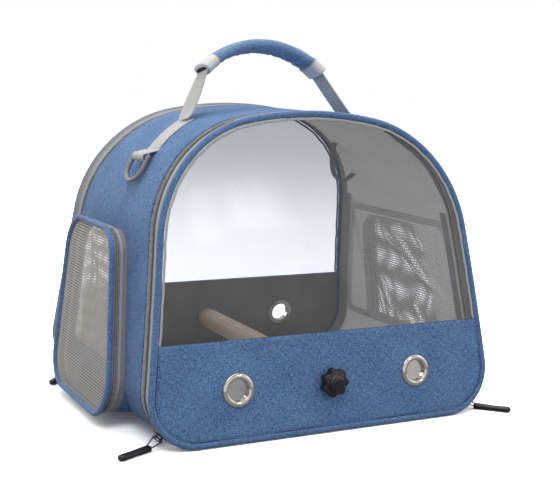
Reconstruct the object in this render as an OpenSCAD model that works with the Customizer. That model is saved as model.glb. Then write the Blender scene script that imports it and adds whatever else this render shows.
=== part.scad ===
// Soft-sided travel carrier for a small bird: an arched fabric cabin whose
// front and rear faces are zip-round doors with a clear window, a perch that
// is screwed between the doors, a net pocket on each side and a top handle.
// Origin: centre of the base on the floor. X across, front is -Y, Z up.

/* [Cabin outline] */
// Half width of the cabin at its widest, to the middle of the piping
half_width = 196; // [160:1:240]
// Height of the lowest line of the outline above the floor
outline_low = 4; // [3:0.5:8]
// Height of the highest line of the outline
outline_high = 324; // [280:1:390]
// Radius of the two bottom corners
corner_radius = 48; // [30:1:60]
// Inward lean of each side wall, degrees from upright
side_lean = 6.75; // [3:0.25:10]
// Radius of the two shoulders
shoulder_radius = 130; // [90:1:150]
// Radius of the crown between the shoulders
crown_radius = 390; // [320:1:600]

/* [Cabin depth] */
// Depth of the cabin at the lowest line
depth_low = 330; // [290:1:400]
// Depth of the cabin at the crown
depth_high = 203; // [170:1:240]
// How far each face stands proud of a straight line from base to crown
face_bulge = 5.8; // [3:0.1:12]

/* [Doors] */
// Width and thickness of the corded piping
piping_d = 7; // [5:0.5:9]
// Height of the top hem of the lower fabric panel
panel_top = 103; // [90:1:130]
// Thickness of the outer fabric
fabric_t = 1.5; // [1:0.1:2]
// Thickness of the stiffening board inside each lower panel
board_t = 1.4; // [1:0.1:1.5]
// Thickness of the lining
lining_t = 1; // [0.6:0.1:1.2]
// Thickness of the clear window film
film_t = 0.5; // [0.3:0.1:0.6]
// Width of the binding sewn over the edge of the film
binding_w = 4.8; // [3:0.1:8]

/* [Zips] */
// Width of zip tape beside the teeth
tape_w = 12; // [8:0.5:14]
// Thickness of the zip tape
tape_t = 0.9; // [0.6:0.1:1.2]
// Width of one half of the closed coil
coil_w = 3.2; // [2:0.1:4]
// Height of the coil above the tape
coil_h = 2.2; // [1.5:0.1:3]
// Gap between the two halves of the closed coil
coil_gap = 0.2; // [0.2:0.1:0.4]

/* [Grommets] */
// Distance of each grommet from the middle of its door
grommet_x = 105; // [90:1:125]
// Height of the grommets and of the perch
perch_z = 54; // [50:1:64]
// Clear bore of a grommet
grommet_bore = 22; // [16:1:24]
// Outer diameter of a grommet flange
grommet_od = 34; // [31:1:38]

/* [Perch] */
// Diameter of the wooden dowel
dowel_d = 24; // [16:1:28]
// Running gap between each end of the dowel and the door lining
dowel_gap = 0.9; // [0.5:0.1:3]
// Root diameter of the stud thread
stud_d = 4.8; // [4:0.1:4.9]
// Bore of the knob insert, at the major diameter of the thread
insert_bore = 6; // [5.8:0.1:6.2]
// Length of stud inside the knob
stud_grip = 7.5; // [6:0.5:8]
// Diameter over the lobes of a knob
knob_d = 31; // [26:1:36]
// Number of lobes on a knob
knob_lobes = 7; // [5:1:8]
// Hole in each door for the stud
stud_hole = 10; // [9:0.5:12]

/* [Side pockets] */
// Distance that a pocket stands out from the wall
pocket_out = 22; // [18:1:32]
// Part of that distance that stays on the cabin when the flap opens
pocket_fixed = 12; // [9:0.5:14]
// Top and bottom of the pocket, measured up the wall from the corner
pocket_high = 146; // [120:0.5:155]
pocket_low = -48.3; // [-49:0.1:-35]
// Rear edge of the pocket, behind the middle of the cabin
pocket_rear = 92; // [70:1:94]
// Front edge of the pocket at its bottom and at its top
pocket_front_low = 106; // [90:1:114]
pocket_front_high = 51; // [45:1:62]
// Radius of the corners of the pocket
pocket_radius = 40; // [20:1:44]
// Threads of net across and up each net, and their width
net_across = 10; // [8:1:12]
net_up = 11; // [9:1:14]
net_thread = 2.4; // [1.5:0.1:3.5]

/* [Carrying] */
// Width of the webbing
web_w = 26; // [20:1:30]
// Thickness of the webbing
web_t = 1.4; // [1:0.1:1.8]
// Place of the handle along X and Y
handle_x = -6; // [-10:1:10]
handle_y = -4; // [-10:1:10]
// Backward lean of the handle at rest, degrees
handle_lean = 12; // [0:1:20]
// Height of the grip above the line where the straps leave the roof
grip_rise = 83; // [70:1:95]
// Radius of the curve of the grip
grip_curve = 104; // [95:1:130]
// Half angle of the curve of the grip
grip_half_angle = 44; // [35:1:46]
// Thickness of the padded grip
grip_t = 14; // [10:0.5:18]
// Width of the padded grip
grip_w = 32; // [26:1:36]
// Diameter of the bar and of the bow of a D-ring
ring_bar_d = 4.5; // [4:0.5:5]
// Outer width of a D-ring
ring_w = 34.5; // [30:0.5:40]

/* [Tray] */
// Gap from the rim of the tray to the start of the round corner, at each side
tray_side_gap = 0; // [0:1:30]
// Gap from the rim of the tray to the foot of each door
tray_door_gap = 25; // [23:1:55]
// Height of the steel tray
tray_h = 16; // [10:1:22]
// Thickness of the tray sheet
tray_t = 0.8; // [0.6:0.1:1.5]

/* [Hidden] */
$fn = 48;

blue = [0.27, 0.47, 0.68];
grey = [0.6, 0.6, 0.61];
pale = [0.78, 0.77, 0.75];
dark = [0.13, 0.14, 0.17];
metal = [0.75, 0.75, 0.76];

// Facets of the large circles that the curved faces are cut with
face_fn = 1080;
// Half the length of every solid that is cut to shape by another
reach = 230;
// Steps of the drawn arcs
arc_steps = 12;
// Clearance between layers that are sewn or pressed together
layer_gap = 0.1;

// Outline: a corner arc, a straight leaning wall, a shoulder and the crown
wall_out = [cos(side_lean), sin(side_lean)];
wall_up = [-sin(side_lean), cos(side_lean)];
corner_c = [half_width - corner_radius, outline_low + corner_radius];
wall_start = corner_c + corner_radius * wall_out;
crown_c = [0, outline_high - crown_radius];
to_crown = wall_start - shoulder_radius * wall_out - crown_c;
reach_diff = crown_radius - shoulder_radius;
wall_run = -(to_crown * wall_up)
    + sqrt(pow(to_crown * wall_up, 2) - to_crown * to_crown + reach_diff * reach_diff);
shoulder_c = wall_start + wall_run * wall_up - shoulder_radius * wall_out;
crown_angle = atan2(shoulder_c[1] - crown_c[1], shoulder_c[0] - crown_c[0]);
wall_end_z = (wall_start + wall_run * wall_up)[1];
// Height at which the side pieces meet the roof pieces
split_z = wall_end_z + 20;

function arc(c, r, a0, a1) =
    [for (i = [0:arc_steps]) let (a = a0 + (a1 - a0) * i / arc_steps) c + r * [cos(a), sin(a)]];
function left_of(p) = [-p[0], p[1]];

// The cabin outline in X and Z, grown outwards by d
function outline(d) = concat(
    arc(corner_c, corner_radius + d, -90, side_lean),
    arc(shoulder_c, shoulder_radius + d, side_lean, crown_angle),
    arc(crown_c, crown_radius + d, crown_angle, 180 - crown_angle),
    arc(left_of(shoulder_c), shoulder_radius + d, 180 - crown_angle, 180 - side_lean),
    arc(left_of(corner_c), corner_radius + d, 180 - side_lean, 270)
);

// Face: an arc of a large circle in Y and Z, through the base and the crown
face_rise = outline_high - outline_low;
face_lean = atan2((depth_low - depth_high) / 2, face_rise);
face_chord = face_rise / cos(face_lean);
face_r = (face_chord * face_chord / 4 + face_bulge * face_bulge) / (2 * face_bulge);
face_mid = [-(depth_low + depth_high) / 4, (outline_low + outline_high) / 2];
face_c = face_mid + (face_r - face_bulge) * [cos(face_lean), -sin(face_lean)];
function half_depth(z, d = 0) = sqrt(pow(face_r + d, 2) - pow(z - face_c[1], 2)) - face_c[0];
function lean_at(z) = asin((z - face_c[1]) / face_r);

// Layers of a door, outwards from the face: film, then fabric; inwards: board, then lining
film_out = film_t / 2;
fabric_in = film_out + layer_gap;
fabric_out = fabric_in + fabric_t;
board_out = -film_out - layer_gap;
board_in = board_out - board_t;
lining_out = board_in - layer_gap;
lining_in = lining_out - lining_t;
piping_r = piping_d / 2;
door_edge = -piping_r - layer_gap;
hem_tuck = 10;

// Layers of the cabin wall, as growth of the outline
tape_out = 0.1;
tape_in = tape_out - tape_t;
skin_in = tape_out + 0.2;
skin_out = skin_in + fabric_t;
hoop_t = 1.2;
hoop_out = tape_in - layer_gap;
hoop_in = hoop_out - hoop_t;
wall_lining_out = hoop_in - layer_gap;
wall_lining_in = wall_lining_out - lining_t;

// Distances inwards from a face, along the zip
zip_start = piping_r + layer_gap;
coil_start = zip_start + tape_w;
coil_mid = coil_start + coil_w;
body_coil_start = coil_mid + coil_gap;
body_coil_end = body_coil_start + coil_w;
skin_start = body_coil_end + 4;
body_tape_end = body_coil_end + tape_w;
hoop_start = skin_start + 2;
hoop_w = 6;
lining_start = body_coil_start + 1;
zip_low_z = outline_low + 8;

// Base: a board in a sleeve, between the two doors
base_sheet = 1.2;
base_top = outline_low - wall_lining_out - layer_gap;
base_half_w = corner_c[0] - 0.4;
base_inset = piping_r + 1.6;

// Door hinge line: the outer lower edge of the piping
hinge_y = -half_depth(outline_low) - piping_r;

// Perch and knobs
dowel_half = half_depth(perch_z + dowel_d / 2, lining_in) - dowel_gap;
knob_foot_r = 8;
knob_clear = 0.32;
washer_face = half_depth(perch_z, fabric_out) + knob_foot_r * tan(lean_at(perch_z)) + knob_clear;
knob_h = 9;
knob_cap_h = 4.5;
knob_bore_h = stud_grip + 1.5;
insert_wall = 1.6;
stud_tip = washer_face + stud_grip;
stud_in_dowel = 16;

// Grommets
barrel_t = 1.5;
flange_t = 2;

// Pocket: a rounded four-sided shape on the wall, toward the front and up
pocket_pts = [
    [-pocket_rear, pocket_low], [pocket_front_low, pocket_low],
    [pocket_front_high, pocket_high], [-pocket_rear, pocket_high]
];
function unit(p) = p / norm(p);
function turn(a, b) = let (t = b - a) t > 180 ? t - 360 : t < -180 ? t + 360 : t;
function corner_arc(pts, r, i, d) =
    let (
        p = pts[i],
        a = unit(pts[(i + 3) % 4] - p),
        b = unit(pts[(i + 1) % 4] - p),
        half = acos(a * b) / 2,
        c = p + unit(a + b) * r / sin(half),
        from = p + a * r / tan(half) - c,
        to = p + b * r / tan(half) - c,
        a0 = atan2(from[1], from[0]),
        a1 = atan2(to[1], to[0])
    ) arc(c, r + d, a0, a0 + turn(a0, a1));
function rounded(pts, r, d) = [for (i = [0:3]) each corner_arc(pts, r, i, d)];
function pocket_outline(d) = rounded(pocket_pts, pocket_radius, d);
pocket_skin = 2;
pocket_gap = 0.3;
net_t = 0.8;
flap_piping = 6;
pocket_coil = 1.8;

// Vent in the side panel, behind the pocket, and the cabin net inside it
vent_inset = 9;
vent_low = 6;
vent_high = wall_run - 4;
net_low = 3;
net_high = wall_run - 3;
net_inset = 24;
net_radius = 24;
net_half_low = half_depth(wall_start[1], -net_inset);
net_half_high = half_depth(wall_end_z, -net_inset);
net_pts = [
    [-net_half_low, net_low], [net_half_low, net_low],
    [net_half_high, net_high], [-net_half_high, net_high]
];
function net_outline(d) = rounded(net_pts, net_radius, d);

// Handle and D-rings, as angles from upright about the shoulder centre
strap_out = skin_out + 0.1;
exit_angle = 23;
sewn_end_angle = 46;
ring_angle = 52.3;
ring_off = 9.6;
ring_yaw = 8;
ring_hang = 28;
sewn_end_y = -21;
ring_y = -26;
ring_at = left_of(shoulder_c) + (shoulder_radius + ring_off) * [-sin(ring_angle), cos(ring_angle)];
exit_x = shoulder_c[0] + (shoulder_radius + strap_out + web_t) * sin(exit_angle);
exit_z = shoulder_c[1] + (shoulder_radius + strap_out + web_t) * cos(exit_angle) + 0.3;
grip_c = grip_rise - grip_curve;
grip_end_x = grip_curve * sin(grip_half_angle);
grip_end_z = grip_c + grip_curve * cos(grip_half_angle);
toy_top = 42;
toy_low = 66;
swing_room = 64;
bow_d = 4.8;
ring_arm = 12.5;
loop_play = 0.9;
loop_w = ring_w - 2 * bow_d - 1.5;

// Zip sliders and pulls
slider_l = 15;
slider_w = 8.6;
slider_plate = 1.6;
slider_slot_h = 4.2;
slider_slot_l = 5.2;
slider_bridge_l = 7.4;
slider_bridge_w = 2.6;
slider_angle = 50;
slider_y = half_depth(outline_low + 8, -coil_mid);
slider_r = corner_radius + tape_out + coil_h + 0.4;
bail_d = 1.4;
bail_w = 14;
bail_r = slider_r + slider_plate + slider_slot_h / 2;
bail_at = [
    -corner_c[0] - bail_r * cos(slider_angle), -slider_y, corner_c[1] - bail_r * sin(slider_angle)
];
bail_out = [-cos(slider_angle), 0, -sin(slider_angle)];
pull_l = 42;
pull_w = 8;
pull_t = 6;
bail_reach = 11.3;

// A round rod between two points, with a bead on its first end
module rod(p, q, d) {
    v = q - p;
    translate(p) rotate([0, acos(v[2] / norm(v)), atan2(v[1], v[0])]) cylinder(d = d, h = norm(v), $fn = 24);
    translate(p) sphere(d = d * 1.2, $fn = 24);
}

// A flat strip of webbing between two points in X and Z, with its width along Y
module strip(p, q, y, w, t) {
    v = q - p;
    translate([p[0], y - w / 2, p[1]]) rotate([0, atan2(-v[1], v[0]), 0]) translate([0, 0, -t / 2])
        cube([norm(v) + 0.4, w, t]);
}

// A flat region in X and Z, carried the whole depth of the cabin
module along_y() {
    rotate([90, 0, 0]) linear_extrude(2 * reach, center = true) children();
}

// The same region, on the front half only
module front_half() {
    rotate([90, 0, 0]) translate([0, 0, 40]) linear_extrude(reach) children();
}

// A ring of the outline between two growths
module band(d0, d1) {
    difference() {
        polygon(outline(d1));
        polygon(outline(d0));
    }
}

// A curved slab parallel to the front face, between two distances from it
module face_slab(from, to) {
    rotate([90, 0, 90]) linear_extrude(2 * reach, center = true) translate(face_c)
        difference() {
            circle(face_r + to, $fn = face_fn);
            circle(face_r + from, $fn = face_fn);
        }
}

// Everything between the two faces, less an inset from each
module between_faces(inset) {
    rotate([90, 0, 90]) linear_extrude(2 * reach, center = true) intersection() {
        translate(face_c) circle(face_r - inset, $fn = face_fn);
        translate([-face_c[0], face_c[1]]) circle(face_r - inset, $fn = face_fn);
    }
}

// A layer of the front door with the outline of the region given
module door_layer(from, to) {
    intersection() {
        face_slab(from, to);
        front_half() children();
    }
}

module rear() {
    mirror([0, 1, 0]) children();
}

module right() {
    mirror([1, 0, 0]) children();
}

// Puts a child on the front face at a height, with its Z along the outward normal
module on_face(x, z, d) {
    translate([x, -half_depth(z, d), z]) rotate([90 - lean_at(z), 0, 0]) children();
}

// Puts a child on the left wall: X to the front, Y up the wall, Z outwards
module on_wall() {
    translate([-wall_start[0], 0, wall_start[1]]) rotate([0, side_lean, 0])
        rotate([90, 0, -90]) children();
}

module below(z) {
    translate([-reach, z - 2 * reach]) square([2 * reach, 2 * reach]);
}

module above(z) {
    translate([-reach, z]) square([2 * reach, 2 * reach]);
}

// Pocket solid between two distances from the wall
module pocket_block(d, from, to) {
    on_wall() translate([0, 0, from]) linear_extrude(to - from) polygon(pocket_outline(d));
}

// Opening in the left side panel, behind the pocket
module vent(d) {
    intersection() {
        polygon(pocket_outline(d - vent_inset));
        translate([-reach, vent_low - d]) square([2 * reach, vent_high - vent_low + 2 * d]);
    }
}

module cabin_wall(d0, d1, inset) {
    intersection() {
        along_y() intersection() {
            band(d0, d1);
            children();
        }
        between_faces(inset);
    }
}

module left_part() {
    translate([-2 * reach, -reach]) square([2 * reach - corner_c[0] - layer_gap, reach + split_z]);
}

// Left wall of the cabin with an opening of the shape given
module open_wall(d0, d1, inset) {
    difference() {
        cabin_wall(d0, d1, inset) left_part();
        on_wall() linear_extrude(30, center = true) children();
    }
}

module base_board() {
    color(dark) intersection() {
        translate([-base_half_w + 3, -reach, base_sheet + layer_gap])
            cube([2 * base_half_w - 6, 2 * reach, base_top - 2 * base_sheet - 2 * layer_gap]);
        between_faces(base_inset + 2);
    }
}

module base_cover() {
    color(dark) intersection() {
        difference() {
            translate([-base_half_w, -reach, 0]) cube([2 * base_half_w, 2 * reach, base_top]);
            translate([-base_half_w + 2, -2 * reach, base_sheet])
                cube([2 * base_half_w - 4, 4 * reach, base_top - 2 * base_sheet]);
        }
        between_faces(base_inset);
    }
}

module left_panel() {
    color(blue) open_wall(skin_in, skin_out, skin_start) vent(0);
}

module right_panel() {
    right() left_panel();
}

module roof_panel() {
    color(blue) cabin_wall(skin_in, skin_out, skin_start) above(split_z);
}

module left_lining() {
    color(grey) open_wall(wall_lining_in, wall_lining_out, lining_start) polygon(net_outline(0.1));
}

module right_lining() {
    right() left_lining();
}

module roof_lining() {
    color(grey) cabin_wall(wall_lining_in, wall_lining_out, lining_start) above(split_z);
}

// Flat spring-steel hoops sewn into the front and rear edges of the cabin
module spring_hoops() {
    color(metal) for (m = [0, 1]) mirror([0, m, 0]) intersection() {
        front_half() intersection() {
            band(hoop_in, hoop_out);
            above(zip_low_z);
        }
        face_slab(-hoop_start - hoop_w, -hoop_start);
    }
}

module zip_half(from, to, coil_from, coil_to) {
    intersection() {
        front_half() intersection() {
            band(tape_in, tape_out);
            above(zip_low_z);
        }
        face_slab(-to, -from);
    }
    intersection() {
        front_half() intersection() {
            band(tape_out, tape_out + coil_h);
            above(zip_low_z);
        }
        face_slab(-coil_to, -coil_from);
    }
}

module body_zip_tapes() {
    color(grey) for (m = [0, 1]) mirror([0, m, 0])
        zip_half(body_coil_start, body_tape_end, body_coil_start, body_coil_end);
}

// Grid of square gaps that a net is cut with, over a box given by two corners
module net_gaps(low, high, across, up) {
    step = [(high[0] - low[0]) / across, (high[1] - low[1]) / up];
    for (i = [0:across - 1], j = [0:up - 1])
        translate([low[0] + (i + 0.5) * step[0], low[1] + (j + 0.5) * step[1]])
            square([step[0] - net_thread, step[1] - net_thread], center = true);
}

module left_cabin_net() {
    color(grey) on_wall() translate([0, 0, wall_lining_in]) linear_extrude(net_t) difference() {
        polygon(net_outline(0));
        intersection() {
            net_gaps(net_pts[0], [net_half_low, net_high], net_across + 4, net_up - 4);
            polygon(net_outline(-4));
        }
    }
}

module right_cabin_net() {
    right() left_cabin_net();
}

// Bindings sewn round the vents, outside, and round the nets, inside
module cabin_net_bindings() {
    color(pale) for (m = [0, 1]) mirror([m, 0, 0]) on_wall() {
        translate([0, 0, skin_out + layer_gap]) linear_extrude(1) difference() {
            vent(1);
            vent(-3);
        }
        translate([0, 0, wall_lining_in - 1.1]) linear_extrude(1) difference() {
            polygon(net_outline(3));
            polygon(net_outline(-5));
        }
    }
}

// Fixed part of a pocket: a fabric rim sewn to the wall, with its half of the zip
module left_pocket_frame() {
    color(pale) difference() {
        union() {
            pocket_block(-4, -25, pocket_fixed);
            pocket_block(-4 + pocket_coil, pocket_fixed - pocket_coil, pocket_fixed);
        }
        pocket_block(-4 - pocket_skin, -30, pocket_fixed + 1);
        along_y() polygon(outline(skin_out + layer_gap));
    }
}

module right_pocket_frame() {
    right() left_pocket_frame();
}

// Webbing sewn over the left shoulder, ending in the loop that holds the D-ring
module anchor_strap() {
    loop_r = ring_bar_d / 2 + loop_play;
    mid_r = shoulder_radius + strap_out + web_t / 2;
    sewn_end = left_of(shoulder_c) + mid_r * [-sin(sewn_end_angle), cos(sewn_end_angle)];
    // The strap leaves the shoulder and meets the loop as a tangent
    v = sewn_end - ring_at;
    a = atan2(v[1], v[0]) + acos((loop_r + web_t / 2) / norm(v));
    tangent = ring_at + (loop_r + web_t / 2) * [cos(a), sin(a)];
    intersection() {
        along_y() band(strap_out, strap_out + web_t);
        translate([0, 0, shoulder_c[1]]) linear_extrude(reach)
            polygon([
                [-exit_x, handle_y - web_w / 2], [-exit_x, handle_y + web_w / 2],
                [sewn_end[0], sewn_end_y + web_w / 2], [sewn_end[0], sewn_end_y - web_w / 2]
            ]);
    }
    strip(sewn_end + [0, 0.3], tangent, ring_y + 0.5, loop_w - 4, web_t);
    translate([ring_at[0], ring_y, ring_at[1]]) rotate([0, 0, ring_yaw - 90]) rotate([0, 90, 0])
        difference() {
            cylinder(r = loop_r + web_t, h = loop_w, center = true);
            cylinder(r = loop_r, h = web_w, center = true);
        }
}

module anchor_straps() {
    color(pale) {
        anchor_strap();
        right() anchor_strap();
    }
}

// Flat sector of a ring about the right shoulder, between two growths and two angles
module shoulder_sector(d0, d1, a0, a1) {
    intersection() {
        band(d0, d1);
        translate(shoulder_c) polygon([
            [0, 0], reach * [sin(a0), cos(a0)], reach * [sin(a1), cos(a1)]
        ]);
    }
}

// Short loop of webbing under the rear right shoulder, for hanging a toy
module toy_loop() {
    toy_w = 12;
    toy_y = 80;
    sewn = 2;
    color(grey) translate([0, toy_y + toy_w / 2, 0]) rotate([90, 0, 0]) linear_extrude(toy_w)
        difference() {
            shoulder_sector(wall_lining_in - 6, wall_lining_in - 0.2, toy_top, toy_low);
            shoulder_sector(wall_lining_in - 4.8, wall_lining_in + 1, toy_top + sewn, toy_low - sewn);
        }
}

// Fabric strips that join the bottom edge of each door to the base
module hinge_strips() {
    color(blue) for (m = [0, 1]) mirror([0, m, 0])
        translate([-base_half_w + 8, -half_depth(0, -base_inset) - 0.75, 0.4])
            cube([2 * base_half_w - 16, 0.6, outline_low - 1]);
}

// One slider body, riding the closed coil at the bottom corner of a door
module door_slider() {
    translate([-corner_c[0], -slider_y, corner_c[1]]) rotate([0, -slider_angle, 0])
        mirror([1, 0, 0]) translate([slider_r, 0, 0]) {
            translate([0, -slider_w / 2, -slider_l / 2]) cube([slider_plate, slider_w, slider_l]);
            difference() {
                translate([0, -slider_bridge_w / 2, -slider_bridge_l / 2])
                    cube([slider_plate + slider_slot_h + 1, slider_bridge_w, slider_bridge_l]);
                translate([slider_plate, -slider_w, -slider_slot_l / 2])
                    cube([slider_slot_h, 2 * slider_w, slider_slot_l]);
            }
        }
}

module door_sliders() {
    color(metal) for (m = [0, 1], n = [0, 1]) mirror([m, 0, 0]) mirror([0, n, 0]) door_slider();
}

// Pull of the front left slider: a wire bail and a moulded rubber bar lying on the floor
module pull(heading) {
    ahead = [cos(heading), sin(heading), 0];
    across = [sin(heading), -cos(heading), 0];
    bar_at = bail_at + bail_reach * ahead + [0, 0, pull_t / 2 + 0.4 - bail_at[2]];
    bar_side = (pull_w - bail_d) / 2;
    flat = across - (across * bail_out) * bail_out;
    pin = bail_w / 2 * flat / norm(flat);
    color(dark) {
        for (e = [-1, 1])
            rod(bail_at + e * pin, bar_at + 3 * ahead + e * bar_side * across, bail_d);
        rod(bail_at - pin, bail_at + pin, bail_d);
        translate(bar_at) rotate([0, 0, heading]) {
            translate([1, -pull_w / 2, -pull_t / 2]) cube([pull_l - 1 - pull_w / 2, pull_w, pull_t]);
            translate([pull_l - pull_w / 2, 0, -pull_t / 2]) cylinder(d = pull_w, h = pull_t);
        }
    }
}

module front_left_pull() {
    pull(205);
}

module front_right_pull() {
    right() pull(225);
}

module rear_left_pull() {
    rear() pull(130);
}

module rear_right_pull() {
    right() rear() pull(205);
}

module front_piping() {
    color(blue) door_layer(-piping_r, piping_r) band(-piping_r, piping_r);
}

module front_window() {
    color([0.9, 0.93, 0.96, 0.35]) door_layer(-film_out, film_out) intersection() {
        polygon(outline(door_edge));
        above(panel_top - hem_tuck);
    }
}

module front_window_binding() {
    color(pale) door_layer(fabric_in, fabric_in + 1) intersection() {
        band(door_edge - binding_w, door_edge);
        above(panel_top + layer_gap);
    }
}

// Bores through a door layer for the grommets and the perch stud
module door_holes(d) {
    for (s = [-1, 1])
        on_face(s * grommet_x, perch_z, 0) cylinder(d = d, h = 30, center = true);
    translate([0, 0, perch_z]) rotate([90, 0, 0]) cylinder(d = stud_hole, h = reach);
}

module lower_layer(from, to, top) {
    difference() {
        door_layer(from, to) intersection() {
            polygon(outline(door_edge));
            below(top);
        }
        door_holes(grommet_bore + 2 * barrel_t + 0.6);
    }
}

module front_lower_panel() {
    color(blue) lower_layer(fabric_in, fabric_out, panel_top);
}

module front_board() {
    color(dark) lower_layer(board_in, board_out, panel_top - 4);
}

module front_lining() {
    color([0.35, 0.35, 0.36]) lower_layer(lining_in, lining_out, panel_top);
}

// Eyelet: an outer flange, a barrel through the door and an inner washer
module front_grommets() {
    barrel_r = grommet_bore / 2;
    color(metal) for (s = [-1, 1]) on_face(s * grommet_x, perch_z, 0) rotate_extrude($fn = 96) {
        translate([barrel_r, lining_in - layer_gap - 1.2])
            square([barrel_t, fabric_out - lining_in + 1.2 + flange_t]);
        translate([barrel_r, fabric_out + layer_gap * 1.5])
            square([grommet_od / 2 - barrel_r - 1, flange_t - 0.4]);
        translate([grommet_od / 2 - 1, fabric_out + layer_gap * 1.5 + 0.8])
            circle(r = 0.8, $fn = 24);
        translate([barrel_r, lining_in - layer_gap * 1.5 - 1])
            square([grommet_od / 2 - barrel_r, 1]);
    }
}

module front_door_zip() {
    color(grey) zip_half(zip_start, coil_mid, coil_start, coil_mid);
}

module rear_piping() {
    rear() front_piping();
}

module rear_window() {
    rear() front_window();
}

module rear_window_binding() {
    rear() front_window_binding();
}

module rear_lower_panel() {
    rear() front_lower_panel();
}

module rear_board() {
    rear() front_board();
}

module rear_lining() {
    rear() front_lining();
}

module rear_grommets() {
    rear() front_grommets();
}

module rear_door_zip() {
    rear() front_door_zip();
}

module perch_dowel() {
    hole = dowel_half - stud_in_dowel;
    color("burlywood") translate([0, 0, perch_z]) rotate([90, 0, 0]) difference() {
        cylinder(d = dowel_d, h = 2 * dowel_half, center = true);
        for (s = [0, 1]) mirror([0, 0, s]) translate([0, 0, hole])
            cylinder(d = stud_d, h = stud_in_dowel + 1);
    }
}

module perch_studs() {
    color(metal) translate([0, 0, perch_z]) rotate([90, 0, 0])
        for (s = [0, 1]) mirror([0, 0, s]) {
            translate([0, 0, dowel_half - stud_in_dowel])
                cylinder(d = stud_d, h = stud_tip - 1 - dowel_half + stud_in_dowel);
            translate([0, 0, stud_tip - 1.01]) cylinder(d1 = stud_d, d2 = stud_d - 1.6, h = 1.01);
        }
}

// Star knob with a blind bore for its insert, a raised cap and a washer foot
module front_knob() {
    lobe_d = 9;
    lobe_r = (knob_d - lobe_d) / 2;
    core_r = lobe_r + 1.4;
    insert_r = insert_bore / 2 + insert_wall;
    foot_h = 2.2;
    top = foot_h + knob_h;
    color(dark) translate([0, -washer_face, perch_z]) rotate([90, 0, 0]) difference() {
        union() {
            rotate_extrude() polygon([
                [0, 0], [knob_foot_r, 0], [knob_foot_r, foot_h], [core_r, foot_h], [core_r, top],
                [9, top], [9, top + 2.6], [6.5, top + knob_cap_h], [0, top + knob_cap_h]
            ]);
            for (i = [0:knob_lobes - 1]) rotate(i * 360 / knob_lobes) translate([lobe_r, 0, foot_h + 0.4])
                cylinder(d = lobe_d, h = knob_h - 1.2);
        }
        translate([0, 0, -1]) cylinder(r = insert_r, h = knob_bore_h + 1);
    }
}

// Brass insert moulded into the knob; its thread is drawn as a plain bore
module front_knob_insert() {
    color("goldenrod") translate([0, -washer_face, perch_z]) rotate([90, 0, 0]) difference() {
        cylinder(r = insert_bore / 2 + insert_wall, h = knob_bore_h);
        translate([0, 0, -1]) cylinder(d = insert_bore, h = knob_bore_h + 2);
    }
}

module rear_knob() {
    rear() front_knob();
}

module rear_knob_insert() {
    rear() front_knob_insert();
}

// Outer net of the pocket flap, inside the piping
module left_flap_net() {
    color(grey) on_wall() translate([0, 0, pocket_out - 4]) linear_extrude(net_t) difference() {
        polygon(pocket_outline(-flap_piping + 1.8));
        intersection() {
            net_gaps(pocket_pts[0], [pocket_front_low, pocket_high], net_across, net_up);
            polygon(pocket_outline(-flap_piping - 3));
        }
    }
}

module left_flap_piping() {
    color(blue) difference() {
        pocket_block(0, pocket_out - flap_piping, pocket_out);
        pocket_block(-flap_piping, pocket_out - flap_piping - 1, pocket_out - 4);
        pocket_block(-flap_piping + 2, pocket_out - 4.1, pocket_out - 3.1);
        pocket_block(-flap_piping, pocket_out - 3.2, pocket_out + 1);
    }
}

// Side strip of the flap with its half of the zip
module left_flap_side() {
    start = pocket_fixed + pocket_gap;
    color(pale) difference() {
        union() {
            pocket_block(-4, start, pocket_out - flap_piping - layer_gap);
            pocket_block(-4 + pocket_coil, start, start + pocket_coil);
        }
        pocket_block(-4 - pocket_skin, pocket_fixed - 1, pocket_out);
    }
}

module right_flap_net() {
    right() left_flap_net();
}

module right_flap_piping() {
    right() left_flap_piping();
}

module right_flap_side() {
    right() left_flap_side();
}

module left_d_ring() {
    bow_r = ring_w / 2 - bow_d / 2;
    color([0.5, 0.49, 0.5]) translate([ring_at[0], ring_y, ring_at[1]])
        rotate([0, 0, ring_yaw - 90]) rotate([-ring_hang, 0, 0]) {
            rotate([0, 90, 0]) cylinder(d = ring_bar_d, h = 2 * bow_r, center = true);
            for (s = [-1, 1]) {
                translate([s * bow_r, 0, -ring_arm]) cylinder(d = bow_d, h = ring_arm);
                translate([s * bow_r, 0, 0]) sphere(d = bow_d);
            }
            translate([0, 0, -ring_arm]) rotate([-90, 0, 0]) rotate_extrude(angle = 180)
                translate([bow_r, 0]) circle(d = bow_d);
        }
}

module right_d_ring() {
    right() left_d_ring();
}

// Handle frame: the axis lies along X where the straps leave the roof
module on_handle() {
    translate([handle_x, handle_y, exit_z]) rotate([-handle_lean, 0, 0]) children();
}

// Part of the grip between two angles from its middle, with a rounded section
module grip_arc(from, to, t, w) {
    translate([0, 0, grip_c]) rotate([90, 0, 0]) rotate(90 - to) rotate_extrude(angle = to - from, $fn = 96)
        translate([grip_curve, 0]) intersection() {
            square([t, w], center = true);
            union() {
                square([t, w - t], center = true);
                for (s = [-1, 1]) translate([0, s * (w - t) / 2]) circle(d = t);
            }
        }
}

grip_cover_angle = 9;
core_t = grip_t - 5;
core_w = grip_w - 5;

module grip_wrap() {
    a = grip_half_angle - grip_cover_angle;
    color(blue) on_handle() difference() {
        grip_arc(-a, a, grip_t, grip_w);
        grip_arc(-a - 1, a + 1, core_t, core_w);
    }
}

module grip_core() {
    a = grip_half_angle - grip_cover_angle;
    color(dark) on_handle() grip_arc(-a, a, core_t - 0.2, core_w - 0.2);
}

module grip_end_covers() {
    a = grip_half_angle;
    color(pale) on_handle() for (m = [0, 1]) mirror([m, 0, 0])
        grip_arc(a - grip_cover_angle + 0.1, a, grip_t + 1, grip_w + 1);
}

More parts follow.
